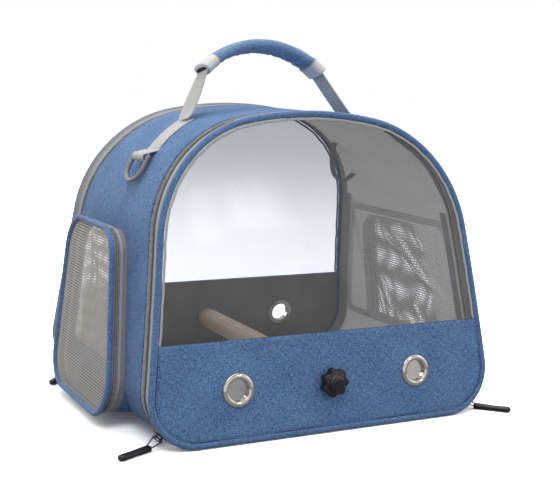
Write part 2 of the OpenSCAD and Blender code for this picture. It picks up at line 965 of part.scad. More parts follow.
// Straps from the roof to the grip; the lower ends narrow so that they can fold over
module handle_straps() {
    room = web_w / 2 * tan(swing_room);
    color(pale) on_handle() for (s = [-1, 1]) intersection() {
        top = [s * (grip_end_x - 1.4), grip_end_z - 1.7];
        foot = [s * (exit_x - 0.7) - handle_x, 0.5];
        side = [s * web_t, 0];
        rotate([90, 0, 0]) linear_extrude(web_w, center = true) polygon([foot, top, top + side, foot + side]);
        rotate([90, 0, 90]) linear_extrude(2 * reach, center = true) polygon([
            [0, 0], [web_w / 2, room], [web_w / 2, grip_rise], [-web_w / 2, grip_rise], [-web_w / 2, room]
        ]);
    }
}

// Steel tray with a turned-out rim, lying on the base
module tray_block(grow, z, h) {
    r = 14 + grow;
    w = corner_c[0] - tray_side_gap + grow;
    d = depth_low / 2 - tray_door_gap + grow;
    translate([0, 0, z]) {
        for (sx = [-1, 1], sy = [-1, 1]) translate([sx * (w - r), sy * (d - r), 0]) cylinder(r = r, h = h);
        translate([-w + r, -d, 0]) cube([2 * (w - r), 2 * d, h]);
        translate([-w, -d + r, 0]) cube([2 * w, 2 * (d - r), h]);
    }
}

module tray() {
    rim = 4;
    z = base_top + 0.2;
    color(metal) difference() {
        union() {
            tray_block(-rim, z, tray_h);
            tray_block(0, z + tray_h - 2, 2);
        }
        tray_block(-rim - tray_t, z + tray_t, tray_h);
    }
}

// Slider of a pocket zip with its tab, parked at the rear of the bottom run
module left_pocket_slider() {
    coil_low = pocket_low + 4 - pocket_coil - pocket_gap;
    color(dark) on_wall() translate([-pocket_rear + pocket_radius + 8, coil_low, pocket_fixed]) {
        translate([-6, -2.6, -3.4]) cube([12, 2.6, 6.8]);
        translate([-22, -3.6, -2.4]) cube([24, 1.2, 4.8]);
    }
}

module right_pocket_slider() {
    right() left_pocket_slider();
}

base_board();
base_cover();
left_panel();
right_panel();
roof_panel();
left_lining();
right_lining();
roof_lining();
spring_hoops();
body_zip_tapes();
left_cabin_net();
right_cabin_net();
cabin_net_bindings();
left_pocket_frame();
right_pocket_frame();
anchor_straps();
toy_loop();
hinge_strips();
door_sliders();
front_piping();
front_window();
front_window_binding();
front_lower_panel();
front_board();
front_lining();
front_grommets();
front_door_zip();
rear_piping();
rear_window();
rear_window_binding();
rear_lower_panel();
rear_board();
rear_lining();
rear_grommets();
rear_door_zip();
perch_dowel();
perch_studs();
front_knob();
front_knob_insert();
rear_knob();
rear_knob_insert();
left_flap_net();
left_flap_piping();
left_flap_side();
right_flap_net();
right_flap_piping();
right_flap_side();
left_d_ring();
right_d_ring();
grip_wrap();
grip_core();
grip_end_covers();
handle_straps();
tray();
front_left_pull();
front_right_pull();
rear_left_pull();
rear_right_pull();
left_pocket_slider();
right_pocket_slider();
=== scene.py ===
"""Looks of a soft-sided travel carrier for a small bird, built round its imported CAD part.

Every soft surface is a grid of two parameters. A point of the cabin is a distance along one outline (corner
arc, leaning wall, shoulder arc, crown arc), a growth along the outline's normal, and an inset from the curved
front or rear face. A point of a door is a place in X and Z and a distance from the same face. A point of a
side pocket is a place on the leaning wall and a distance out from it. Sizes are in millimetres and become
metres in the mesh.
"""

import math

import bpy
import numpy as np
from mathutils import Matrix, Vector


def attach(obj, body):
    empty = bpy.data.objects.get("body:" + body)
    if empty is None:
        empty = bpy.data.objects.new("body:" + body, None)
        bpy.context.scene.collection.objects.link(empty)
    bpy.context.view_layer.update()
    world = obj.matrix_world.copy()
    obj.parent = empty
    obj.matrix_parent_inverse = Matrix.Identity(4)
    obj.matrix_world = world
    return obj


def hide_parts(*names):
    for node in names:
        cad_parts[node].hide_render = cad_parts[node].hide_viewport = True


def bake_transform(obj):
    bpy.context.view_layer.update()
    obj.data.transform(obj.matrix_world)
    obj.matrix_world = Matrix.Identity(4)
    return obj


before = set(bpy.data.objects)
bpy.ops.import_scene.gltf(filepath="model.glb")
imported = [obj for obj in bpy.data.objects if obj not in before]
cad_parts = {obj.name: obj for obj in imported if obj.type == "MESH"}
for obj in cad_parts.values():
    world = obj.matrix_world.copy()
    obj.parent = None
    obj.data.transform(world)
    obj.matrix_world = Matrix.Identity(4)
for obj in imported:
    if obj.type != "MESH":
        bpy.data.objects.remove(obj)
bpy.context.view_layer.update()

# Studio: a camera of 72 mm at the left of the front, looking slightly down, on a white sweep with soft
# lamps. The world shows white to the camera and to mirrors, and lights the object at a plain level.
scene = bpy.context.scene
scene.view_settings.view_transform = "Standard"

yaw, pitch, roll = (math.radians(a) for a in (27.82, 8.88, 1.82))
ahead = np.array([math.sin(yaw) * math.cos(pitch), math.cos(yaw) * math.cos(pitch), -math.sin(pitch)])
level = np.array([math.cos(yaw), -math.sin(yaw), 0.0])
upward = np.cross(level, ahead)
camera_right = math.cos(roll) * level + math.sin(roll) * upward
camera_top = -math.sin(roll) * level + math.cos(roll) * upward
camera = bpy.data.objects.new("camera", bpy.data.cameras.new("camera"))
camera.data.lens = 72.48
camera.data.sensor_width = 36.0
placement = np.eye(4)
placement[:3, 0], placement[:3, 1], placement[:3, 2] = camera_right, camera_top, -ahead
placement[:3, 3] = (-0.5760, -1.1307, 0.3683)
camera.matrix_world = Matrix(placement.tolist())
scene.collection.objects.link(camera)
scene.camera = camera


def put(tree, node, inputs):
    """Sets a node's inputs. A value is a number, a colour or another node's socket."""
    for key, value in inputs.items():
        if isinstance(value, bpy.types.NodeSocket):
            tree.links.new(value, node.inputs[key])
        else:
            node.inputs[key].default_value = value


def wire(tree, kind, inputs, **settings):
    """Adds one node and sets its inputs."""
    node = tree.nodes.new("ShaderNode" + kind)
    for key, value in settings.items():
        setattr(node, key, value)
    put(tree, node, inputs)
    return node


def sum_of(tree, kind, *values):
    """The result of one Math node."""
    return wire(tree, "Math", dict(enumerate(values)), operation=kind).outputs[0]


def times(tree, vector, factor):
    """A vector or a colour times a number."""
    return wire(tree, "VectorMath", {0: vector, "Scale": factor}, operation="SCALE").outputs[0]


def blend_of(tree, factor, first, second):
    """A mix of two colours."""
    return wire(tree, "Mix", {0: factor, 6: first, 7: second}, data_type="RGBA").outputs[2]


def relief(tree, height, strength, distance):
    """The normal of a bumped surface."""
    return wire(tree, "Bump", {"Height": height, "Strength": strength, "Distance": distance}).outputs[0]


def spread(tree, value, low, high):
    """A value of 0 to 1 mapped to a range."""
    return wire(tree, "MapRange", {"Value": value, "To Min": low, "To Max": high}).outputs[0]


def blank(name):
    """A new material with its node tree and its Principled shader."""
    material = bpy.data.materials.new(name)
    material.use_nodes = True
    return material, material.node_tree, material.node_tree.nodes["Principled BSDF"]


world = bpy.data.worlds.new("studio")
world.use_nodes = True
scene.world = world
sky = world.node_tree
sky.nodes.clear()
seen_by = wire(sky, "LightPath", {}).outputs
seen = sum_of(sky, "ADD", seen_by["Is Camera Ray"], seen_by["Is Glossy Ray"])
seen = sum_of(sky, "ADD", seen, seen_by["Is Transmission Ray"])
dim = wire(sky, "Background", {"Color": (0.97, 0.985, 1.0, 1), "Strength": 0.5})
white = wire(sky, "Background", {"Color": (1, 1, 1, 1), "Strength": 1.0})
both = wire(
    sky, "MixShader", {0: sum_of(sky, "MINIMUM", seen, 1.0), 1: dim.outputs[0], 2: white.outputs[0]}
)
wire(sky, "OutputWorld", {"Surface": both.outputs[0]})

for lamp_name, place, size, power in (
    ("key_lamp", (-1.1, -1.5, 2.3), 1.3, 25.0),
    ("fill_lamp", (2.0, -1.4, 1.5), 1.6, 7.0),
    ("top_lamp", (0.1, 0.5, 2.4), 1.5, 30.0),
    ("window_lamp", (0.78, -1.84, 0.79), 0.2, 2.0),
    ("back_lamp", (-0.9, 1.7, 0.5), 0.9, 9.0),
):
    lamp = bpy.data.objects.new(lamp_name, bpy.data.lights.new(lamp_name, "AREA"))
    lamp.data.energy = power
    lamp.data.size = size
    lamp.location = place
    lamp.rotation_euler = (Vector((0, 0, 0.16)) - Vector(place)).to_track_quat("-Z", "Y").to_euler()
    scene.collection.objects.link(lamp)

# A black card over the camera, which only mirrors see, darkens the upper part of the windows
card = bpy.data.objects.new("card", bpy.data.meshes.new("card"))
card.data.from_pydata(
    [(-2.2, -1.7, 0.95), (1.6, -1.7, 0.95), (1.6, -1.5, 1.35), (-2.2, -1.5, 1.35)], [], [(0, 1, 2, 3)]
)
scene.collection.objects.link(card)
card.visible_camera = card.visible_diffuse = card.visible_shadow = card.visible_transmission = False
black_card, card_tree, card_shader = blank("black_card")
put(card_tree, card_shader, {"Base Color": (0.01, 0.01, 0.01, 1)})
card.data.materials.append(black_card)

# The floor is white to the camera and grey to the light that it throws back at the object
floor = bpy.data.objects.new("floor", bpy.data.meshes.new("floor"))
floor.data.from_pydata([(-8, -8, 0), (8, -8, 0), (8, 8, 0), (-8, 8, 0)], [], [(0, 1, 2, 3)])
scene.collection.objects.link(floor)
paper, paper_tree, paper_shader = blank("white_paper")
put(paper_tree, paper_shader, {
    "Base Color": (0.36, 0.36, 0.365, 1), "Roughness": 0.9, "Specular IOR Level": 0.0,
})
paper_seen = wire(paper_tree, "LightPath", {}).outputs
paper_glow = wire(paper_tree, "Emission", {"Color": (1, 1, 1, 1), "Strength": 0.02})
paper_face = wire(paper_tree, "BsdfDiffuse", {"Color": (2.1, 2.1, 2.1, 1)})
paper_add = wire(paper_tree, "AddShader", {0: paper_face.outputs[0], 1: paper_glow.outputs[0]})
paper_share = sum_of(paper_tree, "ADD", paper_seen["Is Camera Ray"], paper_seen["Is Transmission Ray"])
paper_both = wire(paper_tree, "MixShader", {
    0: sum_of(paper_tree, "MINIMUM", paper_share, 1.0), 1: paper_shader.outputs[0], 2: paper_add.outputs[0],
})
put(paper_tree, paper_tree.nodes["Material Output"], {"Surface": paper_both.outputs[0]})
floor.data.materials.append(paper)


def arc_points(cx, cz, radius, first, last, steps):
    """Points and outward normals of an arc between two angles in degrees."""
    a = np.radians(np.linspace(first, last, steps))
    return np.stack([cx + radius * np.cos(a), cz + radius * np.sin(a), np.cos(a), np.sin(a)], 1)


# The outline has a flat bottom, round corners, leaning walls, tight shoulders and a wide crown
BASE_Z = 4.0
CORNER_X, CORNER_Z, CORNER_R = 148.0, 52.0, 48.0
SHOULDER_R, CROWN_R, CROWN_Z = 130.0, 390.0, -66.0
LEAN_DEGREES = 6.75
LEAN = math.radians(LEAN_DEGREES)
wall_out = np.array([math.cos(LEAN), math.sin(LEAN)])
wall_up = np.array([-math.sin(LEAN), math.cos(LEAN)])
WALL_START = np.array([CORNER_X, CORNER_Z]) + CORNER_R * wall_out
to_crown = WALL_START - SHOULDER_R * wall_out - np.array([0.0, CROWN_Z])
reach = (to_crown @ wall_up) ** 2 - to_crown @ to_crown + (CROWN_R - SHOULDER_R) ** 2
WALL_RUN = -to_crown @ wall_up + math.sqrt(reach)
SHOULDER = WALL_START + WALL_RUN * wall_up - SHOULDER_R * wall_out
WALL_END_Z = (WALL_START + WALL_RUN * wall_up)[1]
SPLIT_Z = WALL_END_Z + 20
crown_angle = math.degrees(math.atan2(SHOULDER[1] - CROWN_Z, SHOULDER[0]))
wall_line = WALL_START + np.linspace(WALL_RUN, 0, 300)[:, None] * wall_up
half = np.concatenate([
    arc_points(0, CROWN_Z, CROWN_R, 90, crown_angle, 300),
    arc_points(*SHOULDER, SHOULDER_R, crown_angle, LEAN_DEGREES, 600)[1:],
    np.concatenate([wall_line, np.tile(wall_out, (300, 1))], 1)[1:],
    arc_points(CORNER_X, CORNER_Z, CORNER_R, LEAN_DEGREES, -90, 400)[1:],
    np.stack([np.linspace(CORNER_X, 0, 100), np.full(100, BASE_Z), np.zeros(100), -np.ones(100)], 1)[1:],
])
run = np.concatenate([[0.0], np.cumsum(np.hypot(*np.diff(half[:, :2], axis=0).T))])
HALF_RUN = run[-1]
ROUND = len(half) - 99  # points of the outline above its flat bottom


def outline(u, grow=0.0):
    """X, Z and normal of the grown cabin outline at distance u from the crown, right of it above 0."""
    side = np.where(np.asarray(u) < 0, -1.0, 1.0)
    x, z, nx, nz = (np.interp(np.abs(u), run, half[:, k]) for k in range(4))
    return side * (x + grow * nx), z + grow * nz, side * nx, nz


def run_at(z, grow=0.0):
    """Distance from the crown at which the grown outline passes height z on its right side."""
    return np.interp(-np.asarray(z, float), -(half[:ROUND, 1] + grow * half[:ROUND, 3]), run[:ROUND])


def width_at(z, grow=0.0):
    """Half width of the grown outline at height z."""
    heights, widths = (half[:ROUND, k] + grow * half[:ROUND, k + 2] for k in (1, 0))
    return np.interp(-np.asarray(z, float), -heights, widths)


# The front and rear faces lean together and bow outwards
DEPTH_LOW, DEPTH_TOP, FACE_RISE, FACE_BOW = 330.0, 203.0, 320.0, 5.8
face_tilt = math.atan2((DEPTH_LOW - DEPTH_TOP) / 2, FACE_RISE)
face_chord = FACE_RISE / math.cos(face_tilt)
FACE_R = (face_chord**2 / 4 + FACE_BOW**2) / (2 * FACE_BOW)
FACE_Y = -(DEPTH_LOW + DEPTH_TOP) / 4 + (FACE_R - FACE_BOW) * math.cos(face_tilt)
FACE_Z = BASE_Z + FACE_RISE / 2 - (FACE_R - FACE_BOW) * math.sin(face_tilt)
SIDES = ("left", (1, 1)), ("right", (-1, 1))
DOORS = ("front", (1, 1)), ("rear", (1, -1))
OUTWARD = np.array([0.0, -1.0, 0.0])


def xyz(x, y, z):
    """Points from their three coordinates, which are broadcast against each other."""
    return np.stack(np.broadcast_arrays(x, y, z), -1)


def unit(vectors):
    """Vectors at length 1."""
    return vectors / np.linalg.norm(vectors, axis=-1, keepdims=True)


def run_of(points):
    """Distance so far along a path."""
    return np.concatenate([[0.0], np.cumsum(np.linalg.norm(np.diff(points, axis=0), axis=1))])


def sampled(at, run_so_far, field):
    """A field of points or directions along a path, read at other distances."""
    return np.stack([np.interp(at, run_so_far, field[:, k]) for k in range(field.shape[1])], 1)


def half_depth(z, grow=0.0):
    """Distance of a face from the middle of the cabin at height z: a circle in Y and Z, grown outwards."""
    return np.sqrt((FACE_R + grow) ** 2 - (np.asarray(z, float) - FACE_Z) ** 2) - FACE_Y


def patch(points, cloth, out, mirror=(1, 1), finish=0):
    """One grid of cloth: points and cloth coordinates in mm, turned so that its faces look along out."""
    turn = np.array([mirror[0], mirror[1], 1.0])
    p = np.asarray(points, float) * turn
    rows, cols = p.shape[:2]
    i = np.arange(rows * cols).reshape(rows, cols)
    quads = np.stack([i[:-1, :-1], i[1:, :-1], i[1:, 1:], i[:-1, 1:]], -1).reshape(-1, 4)
    flat = p.reshape(-1, 3)
    a, b, c, d = (flat[quads[:, k]] for k in range(4))
    away = np.broadcast_to(np.asarray(out, float) * turn, p.shape).reshape(-1, 3)[quads].mean(1)
    if (np.cross(c - a, d - b) * away).sum() < 0:
        quads = quads[:, ::-1]
    uv = np.stack(np.broadcast_arrays(*cloth), -1)
    return flat, np.broadcast_to(uv, p.shape[:2] + (2,)).reshape(-1, 2), quads, finish


def make_piece(name, patches, materials):
    """Joins patches into one mesh: equal points become one, and a quad with two equal corners a triangle."""
    starts = np.cumsum([0] + [len(p[0]) for p in patches])
    points = np.concatenate([p[0] for p in patches])
    cloth = np.concatenate([p[1] for p in patches])
    quads = np.concatenate([p[2] + s for p, s in zip(patches, starts)])
    finish = np.concatenate([np.full(len(p[2]), p[3]) for p in patches])
    _, first, same = np.unique(np.round(points, 2), axis=0, return_index=True, return_inverse=True)
    corners = same.reshape(-1)[quads]
    kept = corners != np.roll(corners, -1, 1)
    good = kept.sum(1) > 2
    corners, quads, kept, finish = corners[good], quads[good], kept[good], finish[good]
    count = kept.sum(1)
    mesh = bpy.data.meshes.new(name)
    mesh.vertices.add(len(first))
    mesh.vertices.foreach_set("co", (points[first] * 0.001).ravel())
    mesh.loops.add(int(count.sum()))
    mesh.loops.foreach_set("vertex_index", corners[kept])
    mesh.polygons.add(len(count))
    mesh.polygons.foreach_set("loop_start", np.concatenate([[0], np.cumsum(count)[:-1]]))
    mesh.polygons.foreach_set("material_index", finish.astype(np.int32))
    mesh.polygons.foreach_set("use_smooth", np.ones(len(count), bool))
    mesh.uv_layers.new(name="cloth").data.foreach_set("uv", (cloth[quads][kept] * 0.001).ravel())
    mesh.update(calc_edges=True)
    mesh.validate()
    # Open borders are sharp, so that a sheet's thickness doesn't bend its shading there
    used = np.zeros(len(mesh.loops), np.int32)
    mesh.loops.foreach_get("edge_index", used)
    border = np.bincount(used, minlength=len(mesh.edges)) == 1
    mesh.attributes.new("sharp_edge", "BOOLEAN", "EDGE").data.foreach_set("value", border)
    for material in materials:
        mesh.materials.append(material)
    piece = bpy.data.objects.new(name, mesh)
    scene.collection.objects.link(piece)
    return piece


def thicken(piece, thickness, offset=-1.0, backing=0):
    """Gives a sheet its thickness in mm, inwards from the drawn side. Its back can take the next material."""
    skin = piece.modifiers.new("thickness", "SOLIDIFY")
    skin.thickness = thickness * 0.001
    skin.offset = offset
    skin.material_offset = backing
    return piece


def fix(piece, body, slot, *nodes):
    """The piece rides on a body and stands for CAD nodes, which are hidden; the slot is not used."""
    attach(piece, body)
    if nodes:
        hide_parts(*nodes)
    return piece


def ripple(a, b, spacing, seed):
    """About -1 to 1: six long waves in seeded directions, with crests roughly `spacing` mm apart."""
    draw = np.random.default_rng(seed)
    total = 0.0
    for angle, phase, stretch in draw.uniform((0, 0, 0.7), (6.283, 6.283, 1.7), (6, 3)):
        total = total + np.sin(
            (a * math.cos(angle) + b * math.sin(angle)) * 6.283 / (spacing * stretch) + phase
        )
    return total / 4


def ease(x):
    """0 below 0, 1 above 1, and a smooth step between."""
    x = np.clip(x, 0.0, 1.0)
    return x * x * (3 - 2 * x)


def ink(red, green, blue, alpha=1.0):
    """A colour as it looks, 0 to 255, as the linear colour that a shader takes."""
    c = np.array([red, green, blue]) / 255.0
    return (*np.where(c <= 0.04045, c / 12.92, ((c + 0.055) / 1.055) ** 2.4).tolist(), alpha)


def effect(name, inputs, outputs):
    """An empty node group: its tree, its inputs and its output node."""
    tree = bpy.data.node_groups.new(name, "ShaderNodeTree")
    for socket, kind, value in inputs:
        made = tree.interface.new_socket(name=socket, in_out="INPUT", socket_type="NodeSocket" + kind)
        if value is not None:
            made.default_value = value
    for socket, kind in outputs:
        tree.interface.new_socket(name=socket, in_out="OUTPUT", socket_type="NodeSocket" + kind)
    return tree, tree.nodes.new("NodeGroupInput").outputs, tree.nodes.new("NodeGroupOutput")


def send(tree, end, **sockets):
    """Links results to a group's outputs."""
    for name, socket in sockets.items():
        tree.links.new(socket, end.inputs[name])


def scaled(tree, vector, x, y, z=1.0):
    """The vector stretched along its axes."""
    return wire(tree, "Mapping", {"Vector": vector, "Scale": (x, y, z)}).outputs[0]


def noise(tree, vector, detail=2.0, rough=0.5):
    """Noise of size 1 in the vector, spread to about 0..1."""
    raw = wire(
        tree, "TexNoise", {"Vector": vector, "Scale": 1.0, "Detail": detail, "Roughness": rough}
    ).outputs["Fac"]
    return wire(tree, "MapRange", {"Value": raw, "From Min": 0.3, "From Max": 0.7}).outputs[0]


def parts_of(tree, vector, pitch):
    """The coordinates of a vector, counted in repeats of a pattern."""
    return wire(tree, "SeparateXYZ", {0: times(tree, vector, pitch)}).outputs


def plain_weave(tree, vector, pitch):
    """Height of a plain weave: each crossing of two threads, one over and one under."""
    parts = parts_of(tree, vector, pitch)
    u = sum_of(tree, "SINE", sum_of(tree, "MULTIPLY", parts[0], math.pi))
    v = sum_of(tree, "SINE", sum_of(tree, "MULTIPLY", parts[1], math.pi))
    return sum_of(tree, "ABSOLUTE", sum_of(tree, "MULTIPLY", u, v))


weave, cloth_in, cloth_out = effect(
    "cloth_weave",
    [
        ("Cloth", "Vector", None), ("Pitch", "Float", 1400.0), ("Tone", "Color", (0.5, 0.5, 0.5, 1)),
        ("Wear", "Float", 0.12),
    ],
    [("Color", "Color"), ("Height", "Float")],
)
threads = plain_weave(weave, cloth_in["Cloth"], cloth_in["Pitch"])
cloud = noise(weave, scaled(weave, cloth_in["Cloth"], 28, 28), 3.0)
speck = noise(weave, scaled(weave, cloth_in["Cloth"], 900, 700), 1.0)
shade = sum_of(weave, "MULTIPLY_ADD", sum_of(weave, "SUBTRACT", cloud, 0.5), cloth_in["Wear"],
               sum_of(weave, "MULTIPLY_ADD", sum_of(weave, "SUBTRACT", speck, 0.5), 0.16, 1.0))
shade = sum_of(weave, "MULTIPLY", shade, sum_of(weave, "MULTIPLY_ADD", threads, 0.12, 0.93))
toned = times(weave, cloth_in["Tone"], shade)
send(weave, cloth_out, Color=toned, Height=sum_of(weave, "MULTIPLY_ADD", speck, 0.3, threads))


def on_cloth(tree, pattern, **inputs):
    """The outputs of a pattern laid on the piece's own cloth coordinates."""
    place = wire(tree, "UVMap", {}, uv_map="cloth").outputs[0]
    return wire(tree, "Group", {"Cloth": place, **inputs}, node_tree=pattern).outputs


def cloth_finish(name, tone, pitch, rough, depth, wear, sheen):
    """A woven cloth: the weave's colour and height, with a little sheen."""
    material, tree, shader = blank(name)
    woven = on_cloth(tree, weave, Pitch=pitch, Tone=tone, Wear=wear)
    put(tree, shader, {
        "Base Color": woven["Color"], "Normal": relief(tree, woven["Height"], 0.55, depth),
        "Roughness": rough, "Sheen Weight": sheen, "Specular IOR Level": 0.3,
    })
    return material


def painted_glow(material, colour, strength):
    """Painted light: an emission that lets a cloth glow a little, standing in for the daylight that comes
    through it and into the cabin.
    """
    shader = material.node_tree.nodes["Principled BSDF"]
    put(material.node_tree, shader, {"Emission Color": colour, "Emission Strength": strength})


# Base: a stiff board in a sleeve of coated navy cloth that joins the two sides of the cabin under the tray.
# The sleeve is one tube of cloth, folded shut at the front and the rear and glued flat under the board.
navy_coated = cloth_finish("navy_coated_cloth", ink(34, 38, 52), 1800, 0.55, 0.00012, 0.3, 0.0)

BASE_INSET = -5.1
sleeve_half, sleeve_mid, fold_r = 147.6, 3.05, 2.4
flat_end = sleeve_half - fold_r
flat_run = np.linspace(-flat_end, flat_end, 60)
turns = [
    arc_points(s * flat_end, sleeve_mid + t * (sleeve_mid - fold_r), fold_r, a, a + 90, 6)[:, :2]
    for s, t, a in ((1, -1, -90), (1, 1, 0), (-1, 1, 90), (-1, -1, 180))
]
sleeve = np.concatenate([
    np.stack([flat_run, np.zeros(60)], 1), turns[0], turns[1],
    np.stack([flat_run[::-1], np.full(60, 2 * sleeve_mid)], 1), turns[2], turns[3], [[flat_run[0], 0.0]],
])
sleeve_run = run_of(sleeve)
rows = np.concatenate([[-1, -1, -1], np.linspace(-1, 1, 90), [1, 1, 1]])[:, None]
shut = np.concatenate([[0.0, 0.55, 0.85], np.ones(90), [0.85, 0.55, 0.0]])[:, None]
x, z = sleeve[None, :, 0], sleeve_mid + (sleeve[None, :, 1] - sleeve_mid) * shut
y = rows * (half_depth(z, BASE_INSET) - 1.6 * shut * (np.abs(rows) > 0.999))
z = z - 0.35 * ease((z - 5.5) * 4) * (0.5 + 0.5 * ripple(x, y, 60, 3)) * ease((140 - np.abs(x)) / 20)
sleeve_out = xyz(x * 0.02, y * 0.02, (z - sleeve_mid) * 9)
sleeve_patches = [patch(xyz(x, y, z), (sleeve_run[None], y), sleeve_out)]
base_sleeve = make_piece("base_sleeve", sleeve_patches, [navy_coated])
fix(base_sleeve, "cabin", "base_fabric", "base_cover")


# Sides and roof: three pieces of blue melange polyester cloth, woven from pale and deep yarns, drawn tight
# over the spring hoops and turned in at the front and rear edges. The left and right sides have a vent
# behind the pocket.
melange, yarn_in, yarn_out = effect(
    "melange_yarns",
    [
        ("Cloth", "Vector", None), ("Pale", "Color", (0.3, 0.45, 0.7, 1)),
        ("Deep", "Color", (0.03, 0.1, 0.27, 1)), ("Pitch", "Float", 1500.0),
    ],
    [("Color", "Color"), ("Height", "Float")],
)
warp = noise(melange, scaled(melange, yarn_in["Cloth"], 1000, 210), 3.0, 0.65)
weft = noise(melange, scaled(melange, yarn_in["Cloth"], 210, 1000), 3.0, 0.65)
fleck = noise(melange, scaled(melange, yarn_in["Cloth"], 900, 900), 2.0, 0.6)
broad = noise(melange, scaled(melange, yarn_in["Cloth"], 22, 22), 2.0)
crossing = plain_weave(melange, yarn_in["Cloth"], yarn_in["Pitch"])
mixed = sum_of(melange, "MULTIPLY_ADD", warp, 0.36, sum_of(melange, "MULTIPLY", weft, 0.36))
mixed = sum_of(melange, "MULTIPLY_ADD", fleck, 0.3, mixed)
mixed = sum_of(melange, "MULTIPLY_ADD", sum_of(melange, "SUBTRACT", crossing, 0.4), 0.2, mixed)
mixed = sum_of(melange, "MULTIPLY_ADD", sum_of(melange, "SUBTRACT", broad, 0.5), 0.1, mixed)
amount = wire(melange, "MapRange", {"Value": mixed, "From Min": 0.22, "From Max": 0.82}).outputs[0]
blend = blend_of(melange, amount, yarn_in["Deep"], yarn_in["Pale"])
send(melange, yarn_out, Color=blend, Height=sum_of(melange, "MULTIPLY_ADD", mixed, 0.5, crossing))


def melange_finish(name, pale, deep, sheen):
    """Blue melange cloth."""
    material, tree, shader = blank(name)
    yarns = on_cloth(tree, melange, Pale=pale, Deep=deep)
    put(tree, shader, {
        "Base Color": yarns["Color"], "Normal": relief(tree, yarns["Height"], 0.6, 0.0003),
        "Roughness": 0.88, "Sheen Weight": sheen, "Specular IOR Level": 0.25,
    })
    return material


blue_cloth = melange_finish("blue_melange_cloth", ink(128, 168, 214), ink(24, 62, 118), 0.12)
# The back of each side cloth is pale and glows: painted light, standing in for the daylight seen through the
# side nets round the vent.
pale_backing_painted_glow = cloth_finish("pale_cloth_backing_painted_glow", ink(225, 226, 228), 1800, 0.8, 0.0001, 0.08, 0.1)
painted_glow(pale_backing_painted_glow, (1, 1, 1, 1), 0.45)


def rim(u, grow, inset):
    """Point and normal on the front half of the cabin, at an inset from its face."""
    x, z, nx, nz = outline(u, grow)
    y = -half_depth(z, -np.asarray(inset, float)) + 0 * x
    return xyz(x, y, z), xyz(nx, 0 * y, nz)


def shell(first, last, grow, inset, steps, rows, fold=None, mirror=(1, 1), wave=0.0):
    """A patch of cabin wall between two distances from the crown, from the front inset to the rear one."""
    u = np.linspace(first, last, steps)[:, None]
    v = np.linspace(-1, 1, rows)[None]
    _, z, nx, nz = outline(u, grow)
    y = v * (half_depth(z, -inset) - wave * (0.5 + 0.5 * ripple(u, 0.0, 13, 5)))
    g = grow + (fold(u, y) if fold is not None else 0.0)
    x, z = outline(u, g)[:2]
    return patch(xyz(x, y, z), (u, y), xyz(nx, 0 * y, nz), mirror)


def rounded_loop(corners, radius, steps=240):
    """A four-sided loop with rounded corners, once round: points, outward normals and length so far."""
    corners = np.asarray(corners, float)
    points, normals = [], []
    for i in range(4):
        p, a, b = corners[i], corners[i - 1] - corners[i], corners[(i + 1) % 4] - corners[i]
        a, b = a / np.linalg.norm(a), b / np.linalg.norm(b)
        spread = math.acos(a @ b) / 2
        c = p + (a + b) / np.linalg.norm(a + b) * radius / math.sin(spread)
        ends = [p + e * radius / math.tan(spread) - c for e in (a, b)]
        a0, a1 = (math.atan2(e[1], e[0]) for e in ends)
        sweep = (a1 - a0 + math.pi) % (2 * math.pi) - math.pi
        angles = a0 + sweep * np.linspace(0, 1, 40)
        n = np.stack([np.cos(angles), np.sin(angles)], 1)
        points.append(c + radius * n)
        normals.append(n)
    points, normals = np.concatenate(points + [points[0][:1]]), np.concatenate(normals + [normals[0][:1]])
    length = run_of(points)
    even = np.linspace(0, length[-1], steps + 1)
    points, normals = sampled(even, length, points), sampled(even, length, normals)
    return points, unit(normals), even


def on_wall(a, b, e):
    """Point on the left wall: a to the front, b up the wall from the corner, e out from it."""
    x = -WALL_START[0] + b * math.sin(LEAN) - e * math.cos(LEAN)
    return xyz(x, -a, WALL_START[1] + b * math.cos(LEAN) + e * math.sin(LEAN))


def wall_way(normal):
    """The direction in space of a direction on the left wall."""
    return on_wall(normal[:, 0], normal[:, 1], 0) - on_wall(0, 0, 0)


LEFT_OUT = np.array([-math.cos(LEAN), 0.0, math.sin(LEAN)])
POCKET_LOW, POCKET_TOP = -48.3, 146
POCKET = [(-92, POCKET_LOW), (106, POCKET_LOW), (51, POCKET_TOP), (-92, POCKET_TOP)]
pocket_loop, pocket_normal, pocket_run = rounded_loop(POCKET, 40, 300)
net_low, net_high = half_depth(WALL_START[1], -24.0), half_depth(WALL_END_Z, -24.0)
NET = [(-net_low, 3), (net_low, 3), (net_high, WALL_RUN - 3), (-net_high, WALL_RUN - 3)]
cut_low, cut_high = net_low + 2.2, net_high + 2.2
NET_CUT = [(-cut_low, 0.5), (cut_low, 0.5), (cut_high, WALL_RUN + 1), (-cut_high, WALL_RUN + 1)]
net_loop, net_normal = rounded_loop(NET, 24, 300)[:2]
net_cut_loop, net_cut_normal = rounded_loop(NET_CUT, 4, 300)[:2]
vent_loop = pocket_loop - 9 * pocket_normal
vent_loop[:, 1] = np.clip(vent_loop[:, 1], 6, 144)


